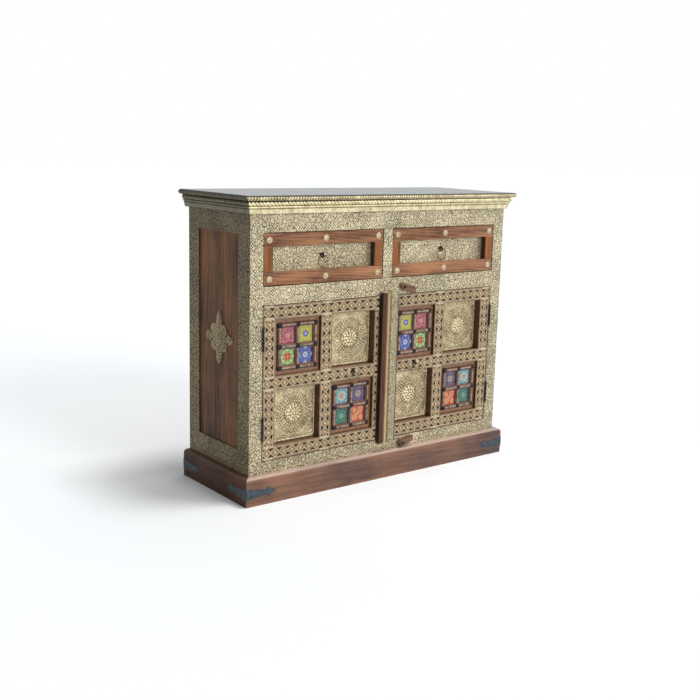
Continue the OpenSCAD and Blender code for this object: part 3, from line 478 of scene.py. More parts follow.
def strip_material():
    """Meeting strip: reeded red wood with painted shade on its flank and in its creases, a pale bead with a
    painted highlight, and embossed brass on its right part with a painted shade line at its right edge.
    """
    paint = Paint("meeting_strip_finish")
    across = (paint.x - STRIP_LEFT) * IN_MM
    x, y, z = paint.x, paint.y, paint.z * 0.07
    figure = paint.noise(x * 40.0, y * 40.0, z * 40.0, detail=5.0, twist=0.8)
    fine = paint.noise(x * 380.0, y * 380.0, z * 380.0, detail=3.0)
    timber = paint.ramp(figure * 0.7 + fine * 0.3, (0.3, srgb(68, 40, 27)), (0.75, srgb(138, 90, 64)))
    # The bead: pale wood with a painted highlight
    bead = paint.ramp(figure * 0.5 + fine * 0.5, (0.3, srgb(196, 160, 116)), (0.7, srgb(246, 222, 180)))
    timber = blend(timber, bead, step(across, 18.0, 19.5))
    relief, pits = stamped(paint, paint.x * IN_MM, paint.z * IN_MM, 24.0, 8.0)
    grit = paint.cloud(200.0, detail=3.0)
    level = relief * 0.35 - pits * 0.35 + grit * 0.5 + 0.12
    metal = paint.ramp(level, (0.0, BRASS_LOW), (0.36, BRASS_MID), (0.85, BRASS_HIGH))
    # Painted shade line at the brass's right edge
    metal = blend(metal, srgb(60, 44, 30), step(across, 62.5, 64.0) * 0.75)
    is_metal = step(across, 32.1, 32.9)
    colour = blend(timber, shaded(metal, grit * 0.4 + 0.5), is_metal)
    seam = paint.ramp(grit, (0.35, srgb(104, 82, 50)), (0.7, srgb(164, 138, 94)))
    colour = blend(colour, seam, step(across, 25.6, 27.4) * step(across, 39.0, 37.0) * 0.85)
    # Painted shade in the strip's creases
    for place, half_wide, depth in STRIP_LINES:
        line = step(size(across - place), half_wide, half_wide * 0.4)
        colour = blend(colour, srgb(44, 30, 20), line * depth)
    # Painted shade on the strip's left flank
    colour = blend(colour, srgb(34, 20, 16), step(across, 0.9, 0.3) * 0.85)
    put(paint.shader.inputs["Metallic"], is_metal * 0.8)
    return paint.finish(colour, is_metal * 0.06 + 0.3, relief * is_metal + fine * 0.15, 0.0006,
                        Specular_IOR_Level=0.3)


# Iron

def iron(name, dark, light, rough, hammered=0.0009, cell=0.007):
    """Blackened iron with the marks of the hammer and a dusty bloom; hammered and cell are in metres."""
    paint = Paint(name)
    marks = paint.spots(paint.x / cell, paint.y / cell, paint.z / cell, "SMOOTH_F1")
    bloom = paint.cloud(110.0, detail=5.0, rough=0.6)
    fine = paint.cloud(900.0, detail=2.0)
    colour = paint.ramp(bloom * 0.8 + fine * 0.25, (0.35, dark), (0.8, light))
    return paint.finish(colour, bloom * 0.3 + rough - 0.12, marks + fine * 0.1, hammered, Metallic=0.65)


# Tiles: designs of petals, rings and dots about the middle, the corners and the edges

WHITE = (238, 236, 222)
CREAM = (232, 218, 170)
YELLOW = (226, 208, 52)
ORANGE = (232, 112, 44)
RED = (206, 44, 42)
ROSE = (178, 56, 80)
GREEN = (70, 152, 62)

# Turns a flower so that its petals lie between those of the one under it
BETWEEN = 1.57


class Tile(Paint):
    """A tile's glaze, its painting built up in layers over a ground, in screen values from 0 to 255.
    The middle is 0, the edges are 1 and -1."""

    def __init__(self, name, ground):
        super().__init__(name)
        self.u = self.x / (TILE / 2)
        self.v = self.z / (TILE / 2)
        self.brush = self.noise(self.u * 5.0, self.v * 5.0, 1.0, detail=3.0) * 0.05 - 0.025
        self.colour = srgb(*ground)

    def field(self, about="middle"):
        """Distance and angle from the middle, the nearest corner, the nearest edge's middle or a point."""
        if about == "middle":
            a, b = self.u, self.v
        elif about == "corner":
            a, b = 1.0 - size(self.u), 1.0 - size(self.v)
        elif about == "edge":
            sideways, upright = size(self.u), size(self.v)
            a, b = 1.0 - high(sideways, upright), low(sideways, upright)
        else:
            a, b = self.u - about[0], self.v - about[1]
        return length(a, b) + self.brush, angle(a, b)

    def lay(self, mask, colour):
        self.colour = blend(self.colour, srgb(*colour), mask)

    def petals(self, count, reach, dip, colour, about="middle", turn=0.0, line=None):
        """A flower of so many petals, with an outline where a line colour is given."""
        r, a = self.field(about)
        wave = size(cosine(a * (count / 2) + turn))
        edge = r - wave * dip - (reach - dip)
        if line is not None:
            self.lay(step(edge, 0.075, 0.045), line)
        self.lay(step(edge, 0.02, -0.02), colour)

    def disc(self, reach, colour, about="middle"):
        r, _ = self.field(about)
        self.lay(step(r, reach + 0.02, reach - 0.02), colour)

    def ring(self, reach, width, colour, about="middle"):
        r, _ = self.field(about)
        self.lay(step(size(r - reach), width, width * 0.4), colour)

    def dots(self, count, reach, dot, colour, turn):
        r, a = self.field()
        across = sine(a * (count / 2) + turn) * reach * 2 / count
        self.lay(step(length(r - reach, across), dot, dot * 0.6), colour)

    def swirls(self, arms, colour, inner, outer, tight, thin):
        r, a = self.field()
        wave = sine(a * float(arms) + r * tight * 2.0)
        inside = step(r, inner, inner + 0.04) * step(r, outer, outer - 0.05)
        self.lay(step(wave, 1 - thin * 2, 1 - thin) * inside, colour)

    def glazed(self):
        edge = step(high(size(self.u), size(self.v)), 0.93, 1.0)
        colour = blend(self.colour, srgb(70, 62, 54), edge * 0.5)
        pool = self.noise(self.u * 2.0, self.v * 2.0, 3.0, detail=2.0)
        return self.finish(shaded(colour, pool * 0.5 + 0.72), pool * 0.08 + 0.1, pool, 0.0005,
                           Coat_Weight=0.7, Coat_Roughness=0.06)


def pink_tile():
    tile = Tile("tile_pink", (196, 98, 104))
    tile.swirls(3, (158, 62, 84), 0.05, 1.4, tight=3.0, thin=0.45)
    for place in ((0.42, 0.45), (-0.45, 0.38), (-0.38, -0.48), (0.46, -0.4)):
        tile.ring(0.28, 0.06, (212, 134, 130), about=place)
        tile.petals(5, 0.18, 0.06, ROSE, about=place)
    tile.petals(5, 0.26, 0.09, (236, 190, 170), line=(140, 50, 84))
    tile.disc(0.09, ROSE)
    return tile.glazed()


def yellow_tile():
    tile = Tile("tile_yellow", YELLOW)
    tile.petals(8, 1.04, 0.34, (204, 196, 90), line=GREEN)
    tile.petals(8, 0.8, 0.46, YELLOW, turn=BETWEEN, line=(84, 128, 70))
    tile.petals(8, 0.42, 0.16, (98, 108, 204), line=(70, 110, 90))
    tile.disc(0.14, (200, 206, 240))
    tile.petals(4, 0.46, 0.18, (226, 214, 110), about="corner", line=GREEN)
    tile.disc(0.12, (80, 100, 190), about="corner")
    return tile.glazed()


def green_tile():
    tile = Tile("tile_green", (84, 156, 74))
    tile.petals(8, 0.98, 0.24, (196, 216, 150), line=GREEN)
    tile.petals(8, 0.8, 0.26, (110, 174, 80), turn=BETWEEN, line=WHITE)
    tile.petals(8, 0.58, 0.42, ORANGE, line=YELLOW)
    tile.petals(4, 0.5, 0.4, RED, turn=BETWEEN)
    tile.disc(0.1, YELLOW)
    tile.petals(4, 0.4, 0.16, (206, 206, 90), about="corner", line=(60, 120, 60))
    return tile.glazed()


def blue_tile():
    tile = Tile("tile_blue", (58, 74, 166))
    tile.petals(6, 0.82, 0.14, (74, 94, 188), line=(120, 140, 216))
    tile.dots(6, 0.66, 0.09, (150, 170, 226), turn=BETWEEN)
    tile.petals(6, 0.4, 0.2, (226, 226, 230), line=(40, 50, 130))
    tile.disc(0.15, (70, 90, 190))
    tile.disc(0.06, YELLOW)
    tile.petals(6, 0.28, 0.13, (222, 222, 226), about="edge", line=(40, 50, 130))
    tile.petals(4, 0.22, 0.08, (206, 120, 90), about="corner")
    return tile.glazed()


def sky_tile():
    tile = Tile("tile_sky", (64, 140, 200))
    tile.petals(8, 0.98, 0.34, (84, 178, 216), line=YELLOW)
    tile.petals(8, 0.76, 0.42, (206, 214, 120), turn=BETWEEN, line=(40, 90, 170))
    tile.petals(8, 0.5, 0.24, (96, 190, 216), line=WHITE)
    tile.petals(8, 0.32, 0.14, (222, 96, 120), turn=BETWEEN, line=(230, 200, 190))
    tile.disc(0.09, YELLOW)
    tile.petals(4, 0.38, 0.16, (40, 84, 176), about="corner", line=(190, 214, 120))
    return tile.glazed()


def night_tile():
    tile = Tile("tile_night", (58, 50, 108))
    tile.ring(0.92, 0.05, (130, 104, 122))
    tile.petals(4, 0.86, 0.5, (84, 66, 124), line=(142, 112, 120))
    tile.petals(8, 0.5, 0.36, (206, 186, 150), line=(74, 62, 130))
    tile.petals(8, 0.22, 0.1, (110, 60, 100), turn=BETWEEN)
    tile.disc(0.07, CREAM)
    tile.petals(4, 0.36, 0.18, (150, 120, 120), about="corner", line=(60, 44, 90))
    tile.dots(8, 0.68, 0.06, (176, 140, 120), turn=BETWEEN)
    return tile.glazed()


def teal_tile():
    tile = Tile("tile_teal", (26, 96, 84))
    tile.swirls(8, (46, 124, 102), 0.4, 1.3, tight=2.0, thin=0.5)
    tile.petals(8, 0.66, 0.24, (34, 112, 92), line=(96, 168, 136))
    tile.petals(8, 0.38, 0.18, (128, 190, 156), turn=BETWEEN, line=(16, 64, 60))
    tile.disc(0.13, (34, 90, 84))
    tile.disc(0.06, (206, 150, 90))
    tile.petals(4, 0.42, 0.18, (76, 150, 120), about="corner", line=(14, 60, 56))
    return tile.glazed()


def orange_tile():
    tile = Tile("tile_orange", (216, 76, 60))
    tile.swirls(4, (232, 120, 90), 0.1, 1.3, tight=2.5, thin=0.45)
    blooms = ((0.4, 0.46, 0.34), (-0.42, -0.44, 0.34), (-0.5, 0.44, 0.22), (0.5, -0.5, 0.22))
    for u, v, reach in blooms:
        tile.disc(reach, (226, 96, 66), about=(u, v))
        tile.ring(reach, 0.06, (242, 196, 110), about=(u, v))
        tile.ring(reach * 0.55, 0.045, (244, 150, 110), about=(u, v))
        tile.disc(reach * 0.25, YELLOW, about=(u, v))
    tile.petals(5, 0.18, 0.06, (248, 200, 120), line=RED)
    return tile.glazed()


# Meshes

def add_object(name, data):
    made = bpy.data.objects.new(name, data)
    bpy.context.collection.objects.link(made)
    return made


def new_mesh(name, verts, faces, material, flat_back=False):
    """A smooth mesh; flat_back leaves its faces of more than four corners flat."""
    mesh = bpy.data.meshes.new(name)
    mesh.from_pydata(verts, [], faces)
    mesh.update()
    mesh.materials.append(material)
    for face in mesh.polygons:
        face.use_smooth = not flat_back or len(face.vertices) == 4
    return mesh


def piece(name, verts, faces, material, body, hollow=None):
    """A new visible piece on a body, its vertices in metres. hollow says for each vertex how deep it lies
    in a relief, from 0 to 1."""
    mesh = new_mesh(name, verts, faces, material)
    if hollow is not None:
        mark = mesh.attributes.new("hollow", "FLOAT", "POINT")
        mark.data.foreach_set("value", hollow)
    ob = add_object(name, mesh)
    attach(ob, body)
    return ob


def plate(us, vs, height, place):
    """Closed plate: a face of points raised by height(u, v), straight sides and a flat back at height 0.
    place(u, v, h) gives a point in metres."""
    cols, rows = len(us), len(vs)
    verts = [place(u, v, height(u, v)) for v in vs for u in us]
    faces = [(j * cols + i, j * cols + i + 1, (j + 1) * cols + i + 1, (j + 1) * cols + i)
             for j in range(rows - 1) for i in range(cols - 1)]
    rim = list(range(cols))
    rim += [j * cols + cols - 1 for j in range(1, rows)]
    rim += [(rows - 1) * cols + i for i in range(cols - 2, -1, -1)]
    rim += [j * cols for j in range(rows - 2, 0, -1)]
    base, around = len(verts), len(rim)
    verts += [place(us[k % cols], vs[k // cols], 0.0) for k in rim]
    faces += [(rim[k], base + k, base + (k + 1) % around, rim[(k + 1) % around]) for k in range(around)]
    faces.append(tuple(base + k for k in range(around - 1, -1, -1)))
    return verts, faces


def even_steps(first, last, gap):
    """Numbers from first to last, about a gap apart."""
    count = max(2, round((last - first) / gap) + 1)
    return [first + (last - first) * i / (count - 1) for i in range(count)]


def sweep(profile, gap, squeeze):
    """A moulding round the left side, the front and the right side, mitred at the corners.
    profile lists (outward, height, angle); squeeze(angle, run) gives how far a point is pulled in, in mm,
    and how hollow it is."""
    sides = (
        (lambda out: (-HALF - out, CORNICE_BACK), lambda out: (-HALF - out, FRONT - out)),
        (lambda out: (-HALF - out, FRONT - out), lambda out: (HALF + out, FRONT - out)),
        (lambda out: (HALF + out, FRONT - out), lambda out: (HALF + out, CORNICE_BACK)),
    )
    lengths = (CORNICE_BACK - FRONT, 2 * HALF, CORNICE_BACK - FRONT)
    verts, rings, hollow, run = [], [], [], 0.0
    for (start, end), long in zip(sides, lengths):
        count = round(long / gap)
        for i in range(1 if rings else 0, count + 1):
            share = i / count
            ring = []
            for out, height, turn in profile:
                deep = 0.0
                if turn is not None:
                    pull, deep = squeeze(turn, (run + long * share) / MM)
                    out -= pull * MM * math.cos(turn)
                    height -= pull * MM * math.sin(turn)
                hollow.append(deep)
                (x0, y0), (x1, y1) = start(out), end(out)
                ring.append(len(verts))
                verts.append((x0 + (x1 - x0) * share, y0 + (y1 - y0) * share, height))
            rings.append(ring)
        run += long
    corners = len(profile)
    faces = [(a[i], b[i], b[(i + 1) % corners], a[(i + 1) % corners])
             for a, b in zip(rings, rings[1:]) for i in range(corners)]
    faces.append(tuple(rings[0]))
    faces.append(tuple(reversed(rings[-1])))
    return verts, faces, hollow


def half_round(out, z, inner):
    """Profile of a moulding: flat back at inner, half circle about (out, z)."""
    steps = 20
    points = [(inner, z - ROUND_RADIUS, None)]
    for i in range(steps + 1):
        turn = -math.pi / 2 + math.pi * i / steps
        points.append((out + ROUND_RADIUS * math.cos(turn), z + ROUND_RADIUS * math.sin(turn), turn))
    points.append((inner, z + ROUND_RADIUS, None))
    return points


def bars(name, boxes, materials, body, rounding):
    """Rounded bars in one piece: boxes lists (lowest corner, highest corner, material number)."""
    shape = bmesh.new()
    for lowest, highest, number in boxes:
        corners = bmesh.ops.create_cube(shape, size=1)["verts"]
        for corner in corners:
            corner.co = Vector([(a + b) / 2 + c * (b - a) for a, b, c in zip(lowest, highest, corner.co)])
        edges = {edge for corner in corners for edge in corner.link_edges}
        for face in {face for corner in corners for face in corner.link_faces}:
            face.material_index = number
        bmesh.ops.bevel(shape, geom=list(edges), offset=rounding, segments=3, profile=0.5, affect="EDGES")
    mesh = bpy.data.meshes.new(name)
    shape.to_mesh(mesh)
    shape.free()
    for material in materials:
        mesh.materials.append(material)
    for face in mesh.polygons:
        face.use_smooth = True
    ob = add_object(name, mesh)
    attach(ob, body)
    return ob


def bump_up(distance, radius, height):
    """Round hill of that height, at a distance from its middle."""
    return height * math.sqrt(max(0.0, 1 - (distance / radius) ** 2)) if distance < radius else 0.0


def sector(a, count, turn):
    """The angle from the middle of the nearest of so many equal sectors."""
    wide = 2 * math.pi / count
    return ((a / wide - turn + 0.5) % 1 - 0.5) * wide


# Medallion plates, in mm: the gap round them, and how far the dome and the dashes reach. A ring of petals
# or dashes is (how many, radius to their middles, half length, half width, height, share of a sector by
# which they are turned).
WINDOW_HALF_W = WINDOW_W / MM / 2
WINDOW_HALF_H = WINDOW_H / MM / 2
MEDALLION_GAP = 0.3
MEDALLION_DOME = 32.0
MEDALLION_DASHES = 63
MEDALLION_RINGS = (
    (8, 11.5, 5.5, 3.9, 2.6, 0), (13, 22.0, 6.2, 4.6, 2.6, 0.5), (24, 30.0, 2.6, 3.0, 1.4, 0),
    (26, 37.5, 3.4, 1.7, 1.3, 0), (30, 44.5, 3.4, 1.7, 1.3, 0.5), (34, 51.5, 3.4, 1.7, 1.3, 0),
    (38, 58.5, 3.4, 1.7, 1.3, 0.5), (28, 66.0, 2.6, 2.6, 2.0, 0), (56, 71.5, 1.6, 2.2, 1.0, 0.5),
)

# The fans in a plate's corners: how far in from both edges they are, and where their rays meet
FAN_IN = 7
FAN_X = 74.5
FAN_Y = 76.7


def medallion_ground(u, v):
    """Height of the plate under its ornament: slightly pillowed, with a round dome."""
    pillow = 2.2 * math.cos(u / 82 * math.pi / 2) * math.cos(v / 84 * math.pi / 2)
    return 1.6 + pillow + bump_up(math.hypot(u, v), MEDALLION_DOME, 5.0)


def medallion_relief(u, v):
    """Height of an embossed plate, u and v from its middle."""
    r, a = math.hypot(u, v), math.atan2(v, u)
    h = bump_up(r, 5.5, 3.0)
    for count, reach, half_long, half_wide, tall, turn in MEDALLION_RINGS:
        b = sector(a, count, turn)
        off = math.hypot((r * math.cos(b) - reach) / half_long, r * math.sin(b) / half_wide)
        h = max(h, bump_up(off, 1, tall))
    x, y = abs(u), abs(v)
    in_from_edge = min(WINDOW_HALF_W - x, WINDOW_HALF_H - y)
    cord = 1.0 + 0.4 * math.cos((u if y > x else v) * 1.6)
    h = max(h, bump_up(abs(in_from_edge - 3.6), 1.8, cord))
    from_corner = math.hypot(WINDOW_HALF_W - FAN_IN - x, WINDOW_HALF_H - FAN_IN - y)
    if from_corner < 17:
        fan = 0.65 + 0.35 * math.cos(10 * math.atan2(y - FAN_Y, x - FAN_X))
        h = max(h, bump_up(abs(from_corner - 10) / 5, 1, 1.4) * fan, bump_up(from_corner, 4, 2.0))
    return medallion_ground(u, v) + h


def medallion_hollow(u, v, h):
    """How dark a point is, 0 to 1: the hollows between the petals and dashes, darkest on the dome."""
    r = math.hypot(u, v)
    deep = 0.8 if r < MEDALLION_DOME + 1.5 else 0.55 if r < MEDALLION_DASHES else 0.25
    return deep * max(0.0, min(1.0, (1.0 - (h - medallion_ground(u, v))) / 0.8))


def medallion(name, x, z, body, material):
    half_w, half_h = WINDOW_HALF_W - MEDALLION_GAP, WINDOW_HALF_H - MEDALLION_GAP
    us, vs = even_steps(-half_w, half_w, 1.0), even_steps(-half_h, half_h, 1.0)
    verts, faces = plate(us, vs, medallion_relief,
                         lambda u, v, h: (x + u * MM, LATTICE_BACK - h * MM, z + v * MM))
    hollow = [medallion_hollow((vx - x) / MM, (vz - z) / MM, (LATTICE_BACK - vy) / MM)
              for vx, vy, vz in verts]
    return piece(name, verts, faces, material, body, hollow=hollow)


def tile_piece(name, x, z, body, material):
    """One tile, slightly crowned, its edges rounded by the glaze."""
    half_t, thick, rounding = TILE / MM / 2, TILE_THICK / MM, 1.6
    # Lines of points, close together where the edge is rounded
    edge_lines = [23.2, 23.8, 24.4, 24.8, half_t]
    lines = [-line for line in reversed(edge_lines)] + even_steps(-21, 21, 3.0) + edge_lines

    def face(u, v):
        inward = min(half_t - max(abs(u), abs(v)), rounding)
        fall = rounding - math.sqrt(rounding ** 2 - (rounding - inward) ** 2)
        return thick - 0.5 + 0.5 * math.cos(u / half_t * 1.5) * math.cos(v / half_t * 1.5) - fall

    verts, faces = plate(lines, lines, face, lambda u, v, h: (u * MM, -h * MM, v * MM))
    ob = add_object(name, new_mesh(name, verts, faces, material, flat_back=True))
    ob.location = (x, FRONT + TILE_RECESS + TILE_BED + TILE_THICK, z)
    bpy.context.view_layer.update()
    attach(ob, body)
    return ob


# Studs, in mm: the radii of their rings of points, how many points go round, the dome's radius and height,
# and where the petals start and how long they are
STUD_RINGS = (1.9, 3.8, 5.0, 5.8, 6.3, 7.0, 8.0, 9.0, 9.8, 10.0)
STUD_ROUND = 40
DOME_RADIUS = 6.2
DOME_HEIGHT = 4.0
PETAL_START = 5.8
PETAL_LONG = 4.4


def stud_piece(name, places, body, material):
    """Domed studs with a ring of petals round each dome."""
    verts, faces = [], []
    for x, z in places:
        start = len(verts)
        for r in STUD_RINGS:
            for k in range(STUD_ROUND):
                a = 2 * math.pi * k / STUD_ROUND
                petal = 0.5 + 0.5 * math.cos(10 * a)
                if r < DOME_RADIUS:
                    h = bump_up(r, DOME_RADIUS, DOME_HEIGHT)
                elif r < STUD_RINGS[-1]:
                    h = 0.8 + 1.3 * petal * math.sin(math.pi * (r - PETAL_START) / PETAL_LONG)
                else:
                    h = 0.0
                reach = r if r < 9 else r - 0.8 * (1 - petal)
                verts.append((x + reach * MM * math.cos(a), FRONT - h * MM, z + reach * MM * math.sin(a)))
        rings = [[start + i * STUD_ROUND + k for k in range(STUD_ROUND)] for i in range(len(STUD_RINGS))]
        for inner, outer in zip(rings, rings[1:]):
            for k in range(STUD_ROUND):
                after = (k + 1) % STUD_ROUND
                faces.append((inner[k], inner[after], outer[after], outer[k]))
        tip = len(verts)
        verts.append((x, FRONT - DOME_HEIGHT * MM, z))
        faces += [(tip, rings[0][(k + 1) % STUD_ROUND], rings[0][k]) for k in range(STUD_ROUND)]
        faces.append(tuple(rings[-1]))
    return piece(name, verts, faces, material, body)


# CAD nodes that are shown as they are, with materials of their own

# How the sides' brass differs from the front's: duller and warmer; with its lower brightness this is painted
# shade for the cabinet's shaded sides
SIDE_SHADE_LOOK = {"metal": 0.3, "rough": 0.5, "spec": 0.25, "tint": (1.04, 0.95, 0.82)}
# The fillet's dark lines, painted shade in its steps: height and half width
FILLET_GROOVES = ((0.8632, 0.0013), (0.8697, 0.0008), (0.8478, 0.0010))
CARCASS_TONES = (srgb(64, 40, 30), srgb(128, 84, 60))
INNER_TONES = (srgb(150, 112, 76), srgb(206, 170, 124))
FRONTS = ("drawer_left", "drawer_right", "door_left", "door_right")


def dress(material, *names):
    for name in names:
        slots = nodes[name].data.materials
        slots.clear()
        slots.append(material)


dress(brass("front_brass", "xz", bright=0.87, cell=9.2), "front_cladding")
# Side brass: the front's brass darkened as painted shade, with more painted shade on its upper part
dress(brass("side_brass", "yz", bright=0.46, upper=-0.2, **SIDE_SHADE_LOOK), "side_cladding")
dress(brass("drawer_brass", "xz", bright=0.94, pitch=36.7, cell=8.4),
      "drawer_left_panel", "drawer_right_panel")
# The side plaques are darkened the same way, as painted shade
dress(brass("plaque_brass", "yz", bright=0.72, pitch=27.0, depth=0.001, cell=10.0, **SIDE_SHADE_LOOK),
      "side_plaques")
dress(moulding_brass("fillet_brass", bright=1.0, grooves=FILLET_GROOVES), "cornice_fillet")

# The plinth's rounded top edge gets a painted highlight
dress(wood("plinth_front_wood", "x", srgb(76, 45, 32), srgb(158, 110, 82), seed=1.0, coat=0.3,
           wear_and_sheen=("z", 0.0785, 0.082, srgb(206, 180, 166))), "plinth_front")
dress(wood("plinth_side_wood", "y", srgb(50, 32, 22), srgb(128, 88, 64), seed=2.0, spec=0.2),
      "plinth_left", "plinth_right")
dress(wood("panel_wood", "z", srgb(46, 28, 17), srgb(186, 129, 85), seed=3.0, streaks=0.7, spec=0.15),
      "side_panel_left", "side_panel_right")
carcass_wood = wood("carcass_wood", "z", *CARCASS_TONES, seed=4.0, coat=0.1)
dress(carcass_wood, "side_frame_left", "side_frame_right", "drawer_divider")
dress(wood("rail_wood", "x", *CARCASS_TONES, seed=5.0, coat=0.1),
      "plinth_back", "top_rail", "middle_rail", "bottom_rail")
dress(wood("top_wood", "x", srgb(30, 40, 46), srgb(66, 84, 94), seed=6.0, coat=0.08, rough=0.24,
           depth=0.00004), "top_board")
dress(wood("inner_wood_x", "x", *INNER_TONES, seed=7.0, rough=0.6),
      "bottom_board", "dust_board", "shelf", "drawer_left_box", "drawer_right_box")
dress(wood("inner_wood_y", "y", *INNER_TONES, seed=8.0, rough=0.6), "shelf_cleats")
dress(wood("inner_wood_z", "z", *INNER_TONES, seed=9.0, rough=0.6),
      "back_panel", "door_left_back", "door_right_back")
dress(wood("button_wood", "x", srgb(84, 56, 40), srgb(164, 126, 98), seed=10.0, coat=0.1, scale=2.0,
           spec=0.3), "upper_turn_button", "lower_turn_button")
dress(carved_wood(), "door_left_lattice", "door_right_lattice")
dress(tile_block_wood(), "door_left_tile_blocks", "door_right_tile_blocks")
dress(strip_material(), "meeting_strip")

dress(iron("black_iron", srgb(20, 20, 20), srgb(62, 60, 58), rough=0.42, hammered=0.0003, cell=0.004),
      "hinge_plates", "turn_button_pivots", "door_left_hinges", "door_right_hinges",
      *(f"{front}_staple" for front in FRONTS))
dress(iron("ring_metal", srgb(70, 56, 32), srgb(178, 148, 96), rough=0.36, hammered=0.0002, cell=0.003),
      *(f"{front}_ring" for front in FRONTS))
dress(iron("nail_black", srgb(14, 20, 18), srgb(48, 54, 50), rough=0.3, hammered=0.0004, cell=0.004),
      "door_left_nails", "door_right_nails")
dress(iron("strap_iron", srgb(42, 52, 58), srgb(100, 116, 124), rough=0.5), "corner_straps")


# Mouldings

MOULDING_GAP = 0.00125
ROPE_STRAND = 12
NOSING_TWIST = 9


def moulding(name, profile, squeeze, material, node):
    verts, faces, hollow = sweep(profile, MOULDING_GAP, squeeze)
    made = piece(name, verts, faces, material, "cabinet", hollow=hollow)
    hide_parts(node)


def rope_pull(turn, run):
    """Slanting strands with dark grooves between them."""
    strand = abs(math.sin(math.pi * (run / ROPE_STRAND + turn / math.pi)))
    return 2.1 * (1 - strand ** 0.75), max(0.0, 1 - 2.4 * strand)


def nosing_pull(turn, run):
    """Soft slanting flutes."""
    wave = 0.5 - 0.5 * math.cos(2 * math.pi * (run / NOSING_TWIST - 1.2 * turn / math.pi))
    return 1.1 * wave, max(0.0, 2.4 * wave - 1.4)


moulding("rope_twist", half_round(ROPE_OUT, ROPE_Z, 0.0), rope_pull,
         moulding_brass("rope_brass", bright=1.12), "rope_moulding")
# The nosing's top is painted dark, as shade
moulding("nosing_twist", half_round(NOSING_OUT, NOSING_Z, NOSING_OUT), nosing_pull,
         moulding_brass("nosing_brass", bright=0.82, dark_above=NOSING_DARK_Z), "top_nosing")
rope_low, rope_high = ROPE_Z - ROUND_RADIUS, ROPE_Z + ROUND_RADIUS
rope_back_box = ((-HALF, BACK, rope_low), (HALF, CORNICE_BACK, rope_high), 0)
rope_back = bars("rope_back", (rope_back_box,), (carcass_wood,), "cabinet", 0.0004)
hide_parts("rope_moulding")


# Doors

TILES = {
    "pink": pink_tile(), "yellow": yellow_tile(), "green": green_tile(), "blue": blue_tile(),
    "sky": sky_tile(), "night": night_tile(), "teal": teal_tile(), "orange": orange_tile(),
}

# The windows' sides and middles, and their tiles from the top left to the bottom right
TILE_WINDOWS = {
    ("left", -OUTER_X, UPPER_Z): ("pink", "yellow", "green", "blue"),
    ("left", -INNER_X, LOWER_Z): ("sky", "night", "teal", "orange"),
    ("right", INNER_X, UPPER_Z): ("yellow", "pink", "blue", "green"),
    ("right", OUTER_X, LOWER_Z): ("night", "sky", "orange", "teal"),
}
MEDALLION_WINDOWS = (
    ("left", -INNER_X, UPPER_Z), ("left", -OUTER_X, LOWER_Z),
    ("right", OUTER_X, UPPER_Z), ("right", INNER_X, LOWER_Z),
)
for (side, x, z), designs in TILE_WINDOWS.items():
    row = "upper" if z > DOOR_MID else "lower"
    for k, design in enumerate(designs):
        tile_x = x + (k % 2 - 0.5) * TILE_PITCH
        tile_z = z + (0.5 - k // 2) * TILE_PITCH
        tile = tile_piece(f"tile_{side}_{row}_{k + 1}", tile_x, tile_z, f"door_{side}", TILES[design])
        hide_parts(f"door_{side}_tiles")

medallion_brass = relief_brass("medallion_brass", bright=1.29)
for side, x, z in MEDALLION_WINDOWS:
    row = "upper" if z > DOOR_MID else "lower"
    m = medallion(f"medallion_{side}_{row}", x, z, f"door_{side}", medallion_brass)
    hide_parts(f"door_{side}_medallions")


# Drawer fronts

drawer_rail_wood = wood("drawer_rail_wood", "x", srgb(78, 40, 25), srgb(198, 138, 95), seed=11.0, coat=0.15,
                        rough=0.34, streaks=1.0, scale=1.7, spec=0.3)
# The drawer stiles' faces behind the front, the jambs, are painted dark as shadow
drawer_stile_wood = wood("drawer_stile_wood", "z", srgb(92, 46, 18), srgb(186, 114, 56), seed=12.0, coat=0.15,
                         rough=0.34, streaks=0.8, scale=1.2, spec=0.3, dark_behind=FRONT + 0.0015)
stud_brass = relief_brass("stud_brass", bright=1.05, stipple=1.6)

for side, x in (("left", -DRAWER_X), ("right", DRAWER_X)):
    x0, x1 = x - DRAWER_W / 2, x + DRAWER_W / 2
    z0, z1 = DRAWER_Z - DRAWER_H / 2, DRAWER_Z + DRAWER_H / 2
    y0, y1 = FRONT, FRONT + DRAWER_DEEP
    stile_y, stile_z0, stile_z1 = y0 + STILE_RECESS, z0 + DRAWER_RAIL, z1 - DRAWER_RAIL
    boxes = (
        ((x0, y0, z0), (x1, y1, stile_z0), 0),
        ((x0, y0, stile_z1), (x1, y1, z1), 0),
        ((x0, stile_y, stile_z0), (x0 + DRAWER_STILE, y1, stile_z1), 1),
        ((x1 - DRAWER_STILE, stile_y, stile_z0), (x1, y1, stile_z1), 1),
    )
    rim = bars(f"drawer_{side}_bars", boxes, (drawer_rail_wood, drawer_stile_wood), f"drawer_{side}",
               DRAWER_ROUNDING)
    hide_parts(f"drawer_{side}_frame")
    places = [(x + i * (DRAWER_W - DRAWER_RAIL) / 2, DRAWER_Z + j * (DRAWER_H - DRAWER_RAIL) / 2)
              for i in (-1, 0, 1) for j in (-1, 1)]
    studs = stud_piece(f"drawer_{side}_petal_studs", places, f"drawer_{side}", stud_brass)
    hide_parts(f"drawer_{side}_studs")


# Floor, light and camera

# The floor: half its width, its colour as seen and as it lights the cabinet, and a faint glow as seen
FLOOR_HALF = 40
FLOOR_SEEN = (0.91, 0.93, 0.945)
FLOOR_UNSEEN = (0.4, 0.4, 0.4)
FLOOR_GLOW = 0.1

# The surroundings are bright on this side where they light the cabinet; the camera sees white
BRIGHT_SIDE = (0.95, -0.3, 0.3)
DIM_TONE = (0.93, 0.97, 1.0)
BRIGHT_TONE = (1.0, 1.0, 1.0)

